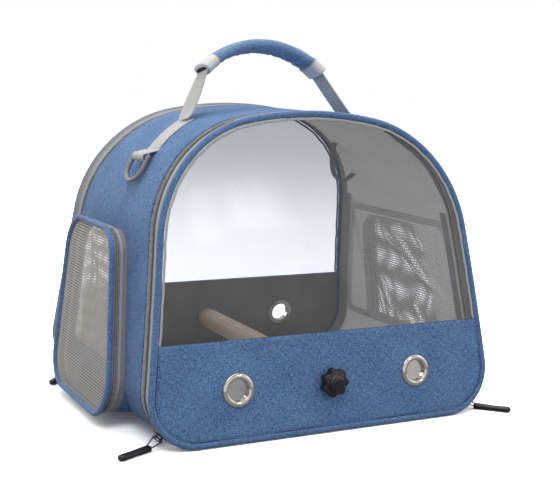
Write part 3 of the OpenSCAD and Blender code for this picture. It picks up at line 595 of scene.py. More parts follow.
def wall_round(hole, inset, depth, mirror, rows):
    """The flat part of a side between its edges and a hole, with rows of equal steps along each ray."""
    middle = np.array([0.0, 72.0])
    b = np.linspace(0, WALL_RUN, 60)
    edge = half_depth(WALL_START[1] + b * math.cos(LEAN) + depth * math.sin(LEAN), -inset)
    across = np.linspace(-1, 1, 60)[1:-1]
    border = np.concatenate([
        np.stack([across * edge[0], 0 * across], 1), np.stack([edge, b], 1),
        np.stack([-across * edge[-1], 0 * across + WALL_RUN], 1), np.stack([-edge, b], 1)[::-1],
    ])
    border = np.concatenate([border, border[:1]])
    ray = np.arctan2(*(border - middle).T[::-1])
    at = hole - middle
    angle, far = np.arctan2(at[:, 1], at[:, 0]), np.hypot(*at.T)
    order = np.argsort(angle)
    near = np.interp(ray, angle[order], far[order], period=2 * math.pi)
    inner = middle + near[:, None] * np.stack([np.cos(ray), np.sin(ray)], 1)
    t = np.linspace(0, 1, rows)[None, :, None]
    place = inner[:, None] * (1 - t) + border[:, None] * t
    # The cloth coordinates match the curved parts: distance from the crown, and Y
    cloth = (-(run_at(WALL_END_Z) + WALL_RUN - place[..., 1]), -place[..., 0])
    return patch(on_wall(place[..., 0], place[..., 1], depth), cloth, LEFT_OUT, mirror)


def panel_fold(u, y):
    """Slight slack of the outer cloth, none along the side seams and where the straps are sewn on."""
    calm = ease((np.abs(np.abs(u) - 130) - 60) / 30)
    return 0.22 * ripple(u, y, 95, 7) * (0.35 + 0.65 * calm) * ease((top_run - np.abs(u)) / 25) ** 2


top_run, wall_top_run = run_at(SPLIT_Z), run_at(WALL_END_Z)
wall_low_run = wall_top_run + WALL_RUN
SIDE_END = HALF_RUN - CORNER_X - 0.1
CLOTH_GROW, CLOTH_INSET = 1.8, 26.2
LINING_GROW, LINING_INSET = -3.2, 20
for side, mirror in SIDES:
    side_patches = [
        shell(-wall_top_run, -top_run, CLOTH_GROW, CLOTH_INSET, 8, 60, mirror=mirror),
        wall_round(vent_loop, CLOTH_INSET, CLOTH_GROW, mirror, 16),
        shell(-SIDE_END, -wall_low_run, CLOTH_GROW, CLOTH_INSET, 30, 60, mirror=mirror),
    ]
    # Its back takes the pale backing with the painted glow.
    side_panel = thicken(
        make_piece(side + "_side_cloth", side_patches, [blue_cloth, pale_backing_painted_glow]), 1.5, backing=1
    )
    fix(side_panel, "cabin", "blue_fabric", side + "_panel")
roof_patches = [shell(-top_run, top_run, CLOTH_GROW, CLOTH_INSET, 140, 60, panel_fold)]
roof_cloth = thicken(make_piece("roof_cloth", roof_patches, [blue_cloth]), 1.5)
fix(roof_cloth, "cabin", "blue_fabric", "roof_panel")


# Linings: light grey plain-weave cloth inside the roof and both sides, slack enough to pucker a little
# between the seams, with an opening on each side for the net.
grey_lining = cloth_finish("grey_lining_cloth", ink(206, 204, 200), 2200, 0.8, 0.0001, 0.12, 0.1)
# The lining glows a little: painted light, for the daylight inside the cabin.
painted_glow(grey_lining, (1, 0.98, 0.95, 1), 0.165)


def crease(a, b, x0, y0, x1, y1, width, height):
    """A long soft fold along the line between two points, steeper on one side, fading past its ends."""
    length = math.hypot(x1 - x0, y1 - y0)
    dx, dy = (x1 - x0) / length, (y1 - y0) / length
    along = ((a - x0) * dx + (b - y0) * dy) / length
    off = (-(a - x0) * dy + (b - y0) * dx) / width
    shape = np.exp(-np.where(off > 0, 2.2 * off, off) ** 2)
    return height * shape * ease((along + 0.15) / 0.3) * ease((1.15 - along) / 0.3)


def lining_fold(u, y):
    """Sag and soft puckers that run in from the front and rear seams, inwards and gone at the side seams."""
    edge = ease((np.abs(y) - 45) / 60)
    fine = 0.7 * (0.5 + 0.5 * ripple(u, y * 0.25, 17, 12)) * ease((np.abs(y) - 84) / 24)
    long = crease(u, y, 70, -96, 215, -72, 9, 2.6) + crease(u, y, 110, -60, 222, -64, 7, 1.7)
    long = long + crease(u, y, 30, -20, 150, -78, 13, 2.0) + crease(u, y, 150, 60, 225, 10, 12, 1.6)
    long = long + crease(u, y, -80, -92, -210, -66, 10, 2.2) + crease(u, y, -40, 70, -190, 40, 14, 2.0)
    sag = 1.1 * (0.5 + 0.5 * ripple(u, y * 0.35, 42, 11)) * (0.35 + 0.65 * edge)
    return -(sag + fine + long) * ease((top_run - np.abs(u)) / 14)


for side, mirror in SIDES:
    lining_patches = [
        shell(-wall_top_run, -top_run, LINING_GROW, LINING_INSET, 8, 60, mirror=mirror),
        wall_round(net_loop, LINING_INSET, LINING_GROW, mirror, 6),
        shell(-SIDE_END, -wall_low_run, LINING_GROW, LINING_INSET, 30, 60, mirror=mirror),
    ]
    side_lining = thicken(make_piece(side + "_side_lining", lining_patches, [grey_lining]), 1.0, 1.0)
    fix(side_lining, "cabin", "lining", side + "_lining")
lining_patches = [shell(-top_run, top_run, LINING_GROW, LINING_INSET, 220, 110, lining_fold, wave=1.8)]
roof_lining = thicken(make_piece("roof_lining_cloth", lining_patches, [grey_lining]), 1.0, 1.0)
fix(roof_lining, "cabin", "lining", "roof_lining")


# Nets: knitted grey net with round holes about 2 mm apart, one in each side of the cabin and one in each
# pocket flap. The cabin nets are cut loose and crease in long diagonal folds.
holes, net_in, net_out = effect(
    "knitted_net",
    [("Cloth", "Vector", None), ("Pitch", "Float", 480.0), ("Hole", "Float", 0.34)],
    [("Alpha", "Float"), ("Height", "Float")],
)
cell = parts_of(holes, net_in["Cloth"], net_in["Pitch"])
row = sum_of(holes, "FLOOR", cell[1])
shift = sum_of(holes, "MULTIPLY", sum_of(holes, "MODULO", row, 2.0), 0.5)
du = sum_of(holes, "FRACT", sum_of(holes, "ADD", sum_of(holes, "ADD", cell[0], 1000.0), shift))
du = sum_of(holes, "MULTIPLY", sum_of(holes, "SUBTRACT", du, 0.5), 0.78)
dv = sum_of(holes, "SUBTRACT", sum_of(holes, "SUBTRACT", cell[1], row), 0.5)
square = sum_of(holes, "ADD", sum_of(holes, "MULTIPLY", du, du), sum_of(holes, "MULTIPLY", dv, dv))
far = sum_of(holes, "SQRT", square)
solid = wire(holes, "MapRange", {
    "Value": far, "From Min": sum_of(holes, "SUBTRACT", net_in["Hole"], 0.03),
    "From Max": sum_of(holes, "ADD", net_in["Hole"], 0.03),
}).outputs[0]
send(holes, net_out, Alpha=solid, Height=sum_of(holes, "MULTIPLY", far, solid))


def net_finish(name, tone, pitch, hole):
    """Knitted net: a soft thread colour, with its holes as alpha on the cloth coordinates."""
    material = cloth_finish(name, tone, 2600, 0.75, 0.0001, 0.1, 0.1)
    tree = material.node_tree
    knit = on_cloth(tree, holes, Pitch=pitch, Hole=hole)
    put(tree, tree.nodes["Principled BSDF"], {
        "Alpha": knit["Alpha"], "Normal": relief(tree, knit["Height"], 0.6, 0.0004),
    })
    return material


cabin_net = net_finish("cabin_knitted_net", ink(214, 212, 208), 370.0, 0.22)
# The cabin net's threads glow a little: painted light, for the daylight through them.
painted_glow(cabin_net, (1, 0.99, 0.97, 1), 0.05)
pocket_net = net_finish("pocket_knitted_net", ink(180, 175, 168), 330.0, 0.27)


def across_loop(loop, normal, grow, b):
    """The two ends of a loop's chord at each height b."""
    p = loop + grow * normal
    middle = 0.5 * (p[:, 0].min() + p[:, 0].max())
    ends = []
    for keep in (p[:, 0] < middle, p[:, 0] >= middle):
        q = p[keep]
        q = q[np.argsort(q[:, 1])]
        ends.append(np.interp(b, q[:, 1], q[:, 0]))
    return ends


def net_sheet(loop, normal, grow, low, high, depth, fold, mirror, rows, cols):
    """A sheet that fills a loop on the wall, with rows at even heights between the loop's two sides."""
    b = low + (high - low) * (0.5 - 0.5 * np.cos(np.linspace(0, math.pi, rows)))[:, None]
    left, right = across_loop(loop, normal, grow, b)
    a = left + (right - left) * np.linspace(0, 1, cols)[None]
    edge = ease(np.minimum(np.minimum(b - low, high - b) / 14, np.minimum(a - left, right - a) / 14) + 0.02)
    e = depth + fold(a, b) * edge
    return patch(on_wall(a, b, e), (-a, b), LEFT_OUT, mirror)


def cabin_net_fold(a, b):
    """Creases of a loose net, drawn inwards, as it hangs from its front upper corner."""
    total = crease(a, b, -20, 128, 96, 66, 7, 4.2) + crease(a, b, 96, 66, 120, 40, 6, 2.4)
    total = total + crease(a, b, -70, 100, -20, 10, 6, 3.2) + crease(a, b, -40, 60, 10, 4, 5, 2.2)
    total = total + crease(a, b, 40, 40, 70, 8, 5, 2.6) + crease(a, b, 84, 140, 92, 60, 4, 1.8)
    total = total + crease(a, b, -95, 138, -70, 60, 5, 2.2) + crease(a, b, 30, 144, 60, 110, 4, 1.4)
    return -1.9 * total - 1.2 * (0.5 + 0.5 * ripple(a, b, 38, 21))


def pocket_net_fold(a, b):
    """A pocket net stands slightly proud, with a few slack lines across its upper front corner."""
    total = crease(a, b, -40, 120, 60, 40, 9, 0.9) + crease(a, b, 0, -20, 70, 90, 10, 0.8)
    return 1.3 + total + 0.3 * ripple(a, b, 55, 33)


for side, mirror in SIDES:
    net_patches = [net_sheet(
        net_cut_loop, net_cut_normal, 0, 0.6, WALL_RUN + 0.9, -4.45, cabin_net_fold, mirror, 90, 130
    )]
    net_piece = make_piece(side + "_side_net", net_patches, [cabin_net])
    fix(net_piece, "cabin", "net", side + "_cabin_net")


# Net bindings: ribbed grey tape folded over the raw edge of each net, inside, and of each vent, outside,
# and sewn through. It waves a little because the tape is stretched on round the corners.
def carry(profile, place, across, up):
    """A closed profile carried along a path: place + a times across + b times up for each point (a, b)."""
    profile = np.asarray(profile, float)
    if profile.ndim == 2:
        profile = profile[None]
    return place[:, None] + profile[..., 0:1] * across[:, None] + profile[..., 1:2] * up[:, None]


def tape_profile(width, thick, steps=5):
    """A flat band with rounded edges, closed, centred on its width and thickness."""
    r = thick / 2
    right = arc_points(width / 2 - r, 0, r, -90, 90, steps)[:, :2]
    left = arc_points(-width / 2 + r, 0, r, 90, 270, steps)[:, :2]
    over = np.stack([np.linspace(width / 2 - r, -width / 2 + r, 6)[1:-1], np.full(4, r)], 1)
    under = over[::-1] * (1, -1)
    return np.concatenate([right, over, left, under, right[:1]])


def ring_middles(body):
    """The middle of each closed ring of a tube."""
    return body[:, :-1].mean(1, keepdims=True)


def capped(body, ends):
    """A tube with both ends closed: its last ring there is one point."""
    return np.concatenate([0 * body[:1] + ends[0], body, 0 * body[:1] + ends[-1]])


def ribbon(place, across, up, width, thick, mirror=(1, 1), finish=0, ends=True, taper=None):
    """A band of tape along a path, with its cloth coordinates along and round it and its ends closed."""
    profile = tape_profile(width, thick)
    body = carry(profile if taper is None else profile[None] * taper[:, None], place, across, up)
    along = run_of(place)
    if ends:
        body = capped(body, ring_middles(body))
        along = np.concatenate([along[:1], along, along[-1:]])
    return patch(body, (along[:, None], run_of(profile)[None]), body - ring_middles(body), mirror, finish)


grey_binding = cloth_finish("grey_ribbed_binding", ink(190, 188, 185), 1100, 0.85, 0.0004, 0.15, 0.1)
pale_binding = cloth_finish("pale_ribbed_binding", ink(186, 185, 183), 1100, 0.85, 0.0004, 0.12, 0.1)


def wall_band(loop, normal, inner, outer, depth, thick, wave, mirror, seed):
    """A band round a loop on the wall, between two growths, that waves in width and height."""
    steps = np.arange(len(loop))
    swing = wave * np.sin(steps * 0.31 + seed) * np.cos(steps * 0.083 + 2 * seed)
    swing = swing * ease(np.minimum(steps, len(loop) - 1 - steps) / 12)
    middle = loop + normal * ((inner + outer) / 2 + 0.4 * swing)[:, None]
    place = on_wall(middle[:, 0], middle[:, 1], depth + 0.25 * swing)
    up = np.broadcast_to(LEFT_OUT, place.shape)
    return ribbon(place, wall_way(normal), up, outer - inner, thick, mirror, ends=False)


binding_patches = []
for mirror in ((1, 1), (-1, 1)):
    binding_patches.append(wall_band(vent_loop, pocket_normal, -3, 1, 2.4, 1.0, 0.0, mirror, 1.0))
    binding_patches.append(wall_band(net_loop, net_normal, -5, 3, -3.85, 1.0, 0.9, mirror, 2.0))
net_bindings = make_piece("net_edge_bindings", binding_patches, [grey_binding])
fix(net_bindings, "cabin", "binding", "cabin_net_bindings")


# Door zips: a coil zip runs round each arch. Its two tapes are warm grey woven polyester, one sewn to the
# door's piping and one under the edge of the cabin cloth, and each carries half of the closed nylon coil.
tape_cloth = cloth_finish("warm_grey_zip_tape", ink(180, 178, 179), 1700, 0.8, 0.0003, 0.1, 0.15)
# The strips under the half coils are dark: painted shade, for the shade between the coil's turns.
coil_gap_shade = cloth_finish("painted_shade_between_coil_turns", ink(96, 95, 97), 1500, 0.85, 0.0003, 0.2, 0.1)
seam_tape = cloth_finish("grey_seam_tape", ink(150, 149, 149), 1500, 0.85, 0.0003, 0.2, 0.1)
# The seam tape glows a little: painted light, for the daylight inside the cabin.
painted_glow(seam_tape, (1, 0.99, 0.98, 1), 0.035)


def object_noise(tree, x, y, z, detail=2.0, rough=0.5):
    """Noise on the object's own coordinates."""
    return noise(tree, scaled(tree, wire(tree, "TexCoord", {}).outputs["Object"], x, y, z), detail, rough)


coil_nylon, coil_tree, coil_shader = blank("zip_coil_nylon")
coil_tone = object_noise(coil_tree, 300, 300, 300)
put(coil_tree, coil_shader, {
    "Base Color": blend_of(coil_tree, coil_tone, ink(150, 148, 149), ink(196, 194, 194)), "Roughness": 0.42,
})


COIL_PITCH, COIL_WIRE = 2.2, 0.44


def coil(place, side, up, width, height, mirror, turn_steps=7):
    """One half of a zip coil: an oval helix of round nylon wire along a path."""
    along = run_of(place)
    turns = int(along[-1] / COIL_PITCH)
    t = np.linspace(0, along[-1], turns * turn_steps + 1)
    centre, a, b = (sampled(t, along, field) for field in (place, side, up))
    angle = (t / COIL_PITCH * 2 * math.pi)[:, None]
    wide, high = width / 2 - COIL_WIRE, height / 2 - COIL_WIRE
    line = centre + a * np.cos(angle) * wide + b * np.sin(angle) * high
    way = unit(np.gradient(line, axis=0))
    radial = a * np.cos(angle) + b * np.sin(angle)
    radial = unit(radial - way * (radial * way).sum(1, keepdims=True))
    ring = arc_points(0, 0, COIL_WIRE, 0, 360, 5)[:, :2]
    body = carry(ring, line, radial, np.cross(way, radial))
    return patch(body, (t[:, None], run_of(ring)[None]), body - line[:, None], mirror)


ZIP_END_Z = 12.0
DOOR_COIL, BODY_COIL = 17.2, 20.6  # insets at which the two tapes end under their half coils
TAPE_SEAM = 6.6
zip_end = run_at(ZIP_END_Z, 0.1)
zip_u = np.linspace(-zip_end, zip_end, 420)
door_end = HALF_RUN - CORNER_X - 1
door_u = np.linspace(-door_end, door_end, 450)


def zip_tape(around, inner, outer, rise, mirror, shift=0.0):
    """Tape between two insets round the arch, dented along its seam, with one edge risen against the cord."""
    v = np.linspace(inner, outer, 13)[None]
    sewn = TAPE_SEAM if rise else outer - 8.0
    grow = 0.1 - 0.35 * np.exp(-((v - sewn) / 0.9) ** 2) + 0.12 * ripple(around[:, None], v, 22, 5)
    grow = np.minimum(grow, 0.2) + rise * (1 - ease((v - inner) / 4.0))
    points, out = rim(around[:, None], grow, v)
    return patch(points, (around[:, None], v + shift), out, mirror)


def coil_path(inset):
    """Path of a half coil along the arch at an inset, with its across and up directions."""
    place, up = rim(np.linspace(-zip_end, zip_end, 1200), 1.2, inset)
    return place, unit(np.cross(np.gradient(place, axis=0), up)), up


def coil_shade_bed(inner, outer):
    """Painted shade: a flat dark strip just above the tape, which shows between the turns of a half coil
    where their shade falls.
    """
    v = np.linspace(inner, outer, 4)[None]
    points, out = rim(zip_u[:, None], 0.32 + 0 * v, v)
    return points, (zip_u[:, None], v), out


body_tape_patches, body_coil_patches = [], []
for door, mirror in DOORS:
    tape_patches = [zip_tape(door_u, 2.8, DOOR_COIL, 2.4, mirror)]
    door_tape = thicken(make_piece(door + "_zip_tape", tape_patches, [tape_cloth]), 0.8)
    fix(door_tape, door + "_door", "zip_tape", door + "_door_zip")
    place, side_way, up_way = coil_path(DOOR_COIL)
    # Under the door's half coil lies its strip of painted shade.
    coil_patches = [coil(place, side_way, up_way, 3.1, 2.1, mirror), patch(*coil_shade_bed(14.4, 18.7), mirror, 1)]
    door_coil = make_piece(door + "_zip_coil", coil_patches, [coil_nylon, coil_gap_shade])
    fix(door_coil, door + "_door", "zip_tape")
    body_tape_patches.append(zip_tape(zip_u, BODY_COIL, 34.2, 0.0, mirror, 20.0 * (door == "rear")))
    place, side_way, up_way = coil_path(BODY_COIL)
    body_coil_patches.append(coil(place, -side_way, up_way, 3.1, 2.1, mirror))
    body_coil_patches.append(patch(*coil_shade_bed(19.1, 23.4), mirror, 1))
    # Inside, each door tape is covered by a strip of grey seam tape
    v = np.linspace(4.0, 16.5, 5)[None]
    points, out = rim(zip_u[:, None], -1.1 + 0.1 * ripple(zip_u[:, None], v, 30, 8), v)
    strip_patches = [patch(points, (zip_u[:, None], v), -out, mirror)]
    seam_strip = thicken(make_piece(door + "_seam_strip", strip_patches, [seam_tape]), 0.25)
    fix(seam_strip, door + "_door", "binding")
body_tape = thicken(make_piece("body_zip_tape", body_tape_patches, [tape_cloth]), 0.8)
fix(body_tape, "cabin", "zip_tape", "body_zip_tapes")
body_coil = make_piece("body_zip_coil", body_coil_patches, [coil_nylon, coil_gap_shade])
fix(body_coil, "cabin", "zip_tape")
# The four upright inner corners of the cabin are covered by strips of the same tape
strip_u = np.linspace(wall_top_run - 12, HALF_RUN - 165, 110)[:, None]
v = np.linspace(20.5, 31, 5)[None]
points, out = rim(strip_u, -5.3 + 0.1 * ripple(strip_u, v, 30, 9), v)
strip_patches = [
    patch(points, (strip_u, v), -out, mirror) for mirror in ((1, 1), (-1, 1), (1, -1), (-1, -1))
]
corner_strips = thicken(make_piece("inner_corner_strips", strip_patches, [seam_tape]), 0.25)
fix(corner_strips, "cabin", "binding")


# Door piping: a soft cord wrapped in the blue cloth, sewn between the door's face and the zip tape all
# round the door. The wrapping puckers on the tight corners, and a pale edge of tape shows behind it.
def wobble(along, spacing, seed):
    """About -1 to 1 along a path, with uneven bumps about `spacing` mm apart."""
    coarse, fine = along * 6.283 / spacing, along * 6.283 / (spacing * 0.61)
    return 0.5 * np.sin(coarse + seed) + 0.5 * np.sin(fine + 1.7 * seed)


piping_cloth = melange_finish("blue_piping_cloth", ink(118, 155, 200), ink(36, 73, 128), 0.3)
u = np.linspace(-HALF_RUN, HALF_RUN, 900)
angles = np.linspace(0, 2 * math.pi, 23)
bend = np.where((np.abs(u) > wall_low_run - 6) & (np.abs(u) < HALF_RUN - 140), 1.0, 0.45)
calm = ease((HALF_RUN - np.abs(u)) / 10)
cord_r = 3.5
radius = cord_r + (0.16 * wobble(u, 9, 1.3) * bend * calm)[:, None] * np.cos(angles)[None]
radius = radius - 0.35 * np.exp(-((angles - 2.9) / 0.22) ** 2)[None]
centre, out = rim(u, 0.0, 0.0)
profile = np.stack([radius * np.cos(angles), radius * np.sin(angles)], -1)
cord_body = carry(profile, centre, out, np.broadcast_to(OUTWARD, centre.shape))
cord_cloth = (u[:, None], cord_r * angles[None])
edge_place, edge_up = rim(u[np.abs(u) < door_end], 2.75, 2.95)
edge_side = unit(np.cross(np.gradient(edge_place, axis=0), edge_up))
for door, mirror in DOORS:
    cord_patches = [patch(cord_body, cord_cloth, cord_body - centre[:, None], mirror)]
    cord = make_piece(door + "_piping_cord", cord_patches, [piping_cloth])
    fix(cord, door + "_door", "piping", door + "_piping")
    edge_patches = [ribbon(edge_place, edge_side, edge_up, 1.7, 0.7, mirror)]
    pale_edge = make_piece(door + "_piping_edge", edge_patches, [pale_binding])
    fix(pale_edge, door + "_door", "binding")


# Windows: one sheet of soft clear film in each door, bent to the curve of the face and slightly wavy, with
# a ribbed binding sewn over its edge. The lower 10 mm is tucked behind the panel.
film, film_tree, film_shader = blank("clear_window_film")
film_bow = wire(film_tree, "UVMap", {}, uv_map="cloth").outputs[0]
film_bow = noise(film_tree, scaled(film_tree, film_bow, 14, 9), 1.0)
put(film_tree, film_shader, {
    "Base Color": ink(182, 182, 184), "Specular IOR Level": 1.0, "Roughness": 0.08, "IOR": 1.5,
    "Normal": relief(film_tree, film_bow, 0.5, 0.0012),
})
film_edge = wire(film_tree, "LayerWeight", {"Blend": 0.35}).outputs["Facing"]
film_clear = wire(film_tree, "BsdfTransparent", {"Color": (0.825, 0.829, 0.842, 1)})
film_both = wire(film_tree, "MixShader", {
    0: spread(film_tree, film_edge, 0.05, 0.22), 1: film_clear.outputs[0], 2: film_shader.outputs[0],
})
put(film_tree, film_tree.nodes["Material Output"], {"Surface": film_both.outputs[0]})


def filled(bottom, right, top, left, rows, cols):
    """A grid that fills four edges: the sum of the two ruled surfaces less the one through the corners."""
    s, t = np.linspace(0, 1, cols)[None, :, None], np.linspace(0, 1, rows)[:, None, None]
    ruled = bottom[None] * (1 - t) + top[None] * t + left[:, None] * (1 - s) + right[:, None] * s
    corners = (bottom[0] * (1 - s) + bottom[-1] * s) * (1 - t) + (top[0] * (1 - s) + top[-1] * s) * t
    return ruled - corners


def even_line(p, q, steps):
    """Straight line between two places in even steps."""
    return np.linspace(np.asarray(p, float), np.asarray(q, float), steps)


def edge_line(first, last, grow, steps):
    """The grown outline between two distances from the crown."""
    return np.stack(outline(np.linspace(first, last, steps), grow)[:2], 1)


DOOR_GROW = -3.6  # growth of the outline at which the sheets of a door end inside its piping
window_z, window_corner = 93.0, 172.0
window_low, window_half = run_at(window_z, DOOR_GROW), width_at(window_z, DOOR_GROW)
window_grid = filled(
    even_line((-window_half, window_z), (window_half, window_z), 110),
    edge_line(window_low, window_corner, DOOR_GROW, 90),
    edge_line(-window_corner, window_corner, DOOR_GROW, 110),
    edge_line(-window_low, -window_corner, DOOR_GROW, 90), 90, 110,
)
wx, wz = window_grid[..., 0], window_grid[..., 1]
window_points = xyz(wx, -half_depth(wz, 0.12 * ripple(wx, wz, 70, 15)), wz)
binding_top = run_at(103.2, -6.0)
bind_u = np.linspace(-binding_top, binding_top, 420)
bx, bz, bnx, bnz = outline(bind_u, -5.0 + 0.35 * wobble(bind_u, 31, 0.6))
bind_place = xyz(bx, -half_depth(bz, 0.95 + 0.15 * wobble(bind_u, 23, 2.1)), bz)
bind_across = xyz(bnx, 0, bnz)
bind_up = np.broadcast_to(OUTWARD, bind_place.shape)
for door, mirror in DOORS:
    film_patches = [patch(window_points, (wx, wz), (0, -1, 0), mirror)]
    window = thicken(make_piece(door + "_clear_window", film_patches, [film]), 0.4, 0.0)
    fix(window, door + "_door", "window_film", door + "_window")
    bind_patches = [ribbon(bind_place, bind_across, bind_up, 2.6, 0.95, mirror)]
    window_edge = make_piece(door + "_window_edge", bind_patches, [pale_binding])
    fix(window_edge, door + "_door", "binding", door + "_window_binding")


# Lower panels: blue cloth over a stiff board, lined in dark grey. The top edge is a turned hem with one row
# of stitches, and each panel has two eyelets and a hole for the perch stud.
dark_lining = cloth_finish("dark_grey_lining_cloth", ink(152, 150, 148), 2000, 0.82, 0.0001, 0.2, 0.1)


PERCH_Z, EYELET_X = 54.0, 105.0
STUD_HOLE, EYELET_HOLE = 5.0, 12.8
HEM_STITCH_Z = 95.2


def panel_zones(top, grow, skin, mirror, rows):
    """The panel in three zones, each ruled from its round hole to its border, at skin from the face."""
    corner_run, low_z, split = run_at(top, grow), BASE_Z - grow, EYELET_X / 2
    up = np.linspace(low_z, top, 40)
    middle_border = np.concatenate([
        np.stack([0 * up + split, up], 1), even_line((split, top), (-split, top), 44)[1:],
        np.stack([0 * up - split, up[::-1]], 1)[1:], even_line((-split, low_z), (split, low_z), 44)[1:],
    ])
    side_line = edge_line(corner_run, HALF_RUN - CORNER_X, grow, 110)
    side_border = np.concatenate([
        np.stack([0 * up + split, up], 1)[::-1], even_line((split, low_z), (CORNER_X, low_z), 36)[1:],
        side_line[::-1][1:], even_line(side_line[0], (split, top), 50)[1:],
    ])
    zones = []
    for border, hole_x, hole_r in (
        (middle_border, 0.0, STUD_HOLE), (side_border, EYELET_X, EYELET_HOLE),
        (side_border * (-1, 1), -EYELET_X, EYELET_HOLE),
    ):
        centre = np.array([hole_x, PERCH_Z])
        way = border - centre
        ring = centre + hole_r * way / np.linalg.norm(way, axis=1, keepdims=True)
        t = np.linspace(0, 1, rows)[None, :, None]
        grid = ring[:, None] * (1 - t) + border[:, None] * t
        x, z = grid[..., 0], grid[..., 1]
        zones.append(patch(xyz(x, -half_depth(z, skin(x, z)), z), (x, z), OUTWARD, mirror))
    return zones


def outer_skin(x, z):
    """Outside of the panel: a hem 9 mm deep that stands up slightly, with a dent along its stitches."""
    hem = 0.35 * ease((z - 93.6) / 1.2) - 0.25 * np.exp(-((z - HEM_STITCH_Z) / 0.7) ** 2)
    hem = hem - 0.4 * ease((z - 101.6) / 1.6)
    from_hole = np.minimum(np.hypot(x, z - PERCH_Z), np.hypot(np.abs(x) - EYELET_X, z - PERCH_Z))
    calm = ease((from_hole - 18) / 12)
    return 1.6 + hem + 0.22 * ripple(x, z, 60, 17) * calm * ease((101 - z) / 10)


def inner_skin(x, z):
    """Inside of the lining."""
    return -2.75 + 0.1 * ripple(x, z, 80, 19)


for door, mirror in DOORS:
    panel_patches = panel_zones(103.0, DOOR_GROW, outer_skin, mirror, 26)
    panel = thicken(make_piece(door + "_panel_cloth", panel_patches, [blue_cloth]), 1.2)
    fix(panel, door + "_door", "blue_fabric", door + "_lower_panel")
    inner_patches = panel_zones(102.6, -3.8, inner_skin, mirror, 16)
    inner_patches = [(p, c, q[:, ::-1], f) for p, c, q, f in inner_patches]
    inner = thicken(make_piece(door + "_panel_lining", inner_patches, [dark_lining]), 0.8)
    fix(inner, door + "_door", "dark_lining", door + "_lining")


# Eyelets: pressed brass, nickel-plated and polished. Each is spun from one ring with a domed outer flange,
# a barrel through the door and a flat washer inside, where the barrel is rolled over.
def metal_finish(name, tone, rough, grain=0.05):
    """Plated or bare metal with faint polishing marks and uneven gloss."""
    material, tree, shader = blank(name)
    marks = object_noise(tree, 60, 60, 900)
    put(tree, shader, {
        "Roughness": spread(tree, marks, rough, rough + 3 * grain),
        "Normal": relief(tree, marks, grain, 0.0002), "Base Color": tone, "Metallic": 1.0,
    })
    return material


def lathe(profile, origin, axis, x_way, mirror, steps=96):
    """A closed profile of (radius, height), anticlockwise, turned round an axis from an origin."""
    y_way = np.cross(axis, x_way)
    a = np.linspace(0, 2 * math.pi, steps + 1)[:, None, None]
    ring = np.cos(a) * x_way + np.sin(a) * y_way
    body = origin + ring * profile[None, :, 0:1] + axis * profile[None, :, 1:2]
    tangent = np.gradient(profile, axis=0)
    out = ring * tangent[None, :, 1:2] - axis * tangent[None, :, 0:1]
    return patch(body, (a[:, 0] * profile[:, 0].mean(), run_of(profile)[None]), out, mirror)


nickel = metal_finish("polished_nickel", ink(196, 190, 182), 0.07, 0.01)


def smooth_path(points, steps):
    """A rounded path through corner points: three rounds of corner cutting, then even steps."""
    p = np.asarray(points, float)
    for _ in range(3):
        a, b = p[:-1] * 0.75 + p[1:] * 0.25, p[:-1] * 0.25 + p[1:] * 0.75
        p = np.concatenate([p[:1], np.stack([a, b], 1).reshape(-1, 2), p[-1:]])
    length = run_of(p)
    return sampled(np.linspace(0, length[-1], steps), length, p)


flange = smooth_path([
    (11.0, -4.0), (12.2, -4.1), (16.9, -4.1), (17.0, -3.1), (12.6, -3.05), (12.5, 0.0), (12.5, 2.0),
    (17.0, 2.05), (17.1, 2.5), (16.4, 3.5), (14.4, 4.05), (12.0, 3.9), (11.05, 3.0), (11.0, 0.0),
    (11.0, -4.0),
], 90)
for door, mirror in DOORS:
    tilt = math.asin((PERCH_Z - FACE_Z) / FACE_R)
    axis = np.array([0.0, -math.cos(tilt), math.sin(tilt)])
    rings = [
        lathe(flange, np.array([x, -half_depth(PERCH_Z), PERCH_Z]), axis, np.array([1.0, 0.0, 0.0]), mirror)
        for x in (-EYELET_X, EYELET_X)
    ]
    eyelets = make_piece(door + "_eyelets", rings, [nickel])
    fix(eyelets, door + "_door", "grommet_metal", door + "_grommets")


# Perch and knobs: a turned wooden dowel with a threaded steel stud in each end, clamped between the doors
# by two black moulded star knobs with brass inserts.
def dress(node, material):
    """Gives a CAD node its own procedural finish."""
    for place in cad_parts[node].material_slots:
        place.material = material


wood, wood_tree, wood_shader = blank("plain_beech")
grain_line = object_noise(wood_tree, 420, 9, 420, 4.0, 0.6)
pores = spread(wood_tree, object_noise(wood_tree, 1500, 60, 1500), 0.86, 1.04)
wood_tone = blend_of(wood_tree, grain_line, ink(228, 200, 172), ink(252, 232, 210))
put(wood_tree, wood_shader, {
    "Base Color": times(wood_tree, wood_tone, pores),
    "Normal": relief(wood_tree, grain_line, 0.25, 0.0004), "Roughness": 0.6,
})
dress("perch_dowel", wood)
steel = metal_finish("zinc_plated_steel", ink(200, 200, 203), 0.25, 0.06)
brass = metal_finish("plain_brass", ink(214, 176, 96), 0.28, 0.06)
dress("perch_studs", steel)
dress("front_knob_insert", brass)
dress("rear_knob_insert", brass)


def moulded_finish(name, tone, rough, grain=0.15, scale=1400.0):
    """Moulded plastic or rubber: a fine grain and slightly uneven gloss."""
    material, tree, shader = blank(name)
    fine = object_noise(tree, scale, scale, scale)
    smear = object_noise(tree, 45, 45, 45, 3.0)
    put(tree, shader, {
        "Normal": relief(tree, fine, grain, 0.0002),
        "Roughness": spread(tree, smear, rough - 0.06, rough + 0.1),
        "Base Color": times(tree, tone[:3], spread(tree, smear, 0.85, 1.15)),
    })
    return material


knob_black = moulded_finish("black_moulded_plastic", ink(20, 20, 22), 0.32)
knob_gloss = moulded_finish("glossy_black_cap", ink(20, 20, 22), 0.16, 0.03)
star = np.linspace(0, 2 * math.pi, 141)
star_r = 12.45 + 3.0 * (0.5 + 0.5 * np.cos(7 * star)) ** 0.75
knob_bore, bore_depth, cap_from = 4.6, 9.0, 11
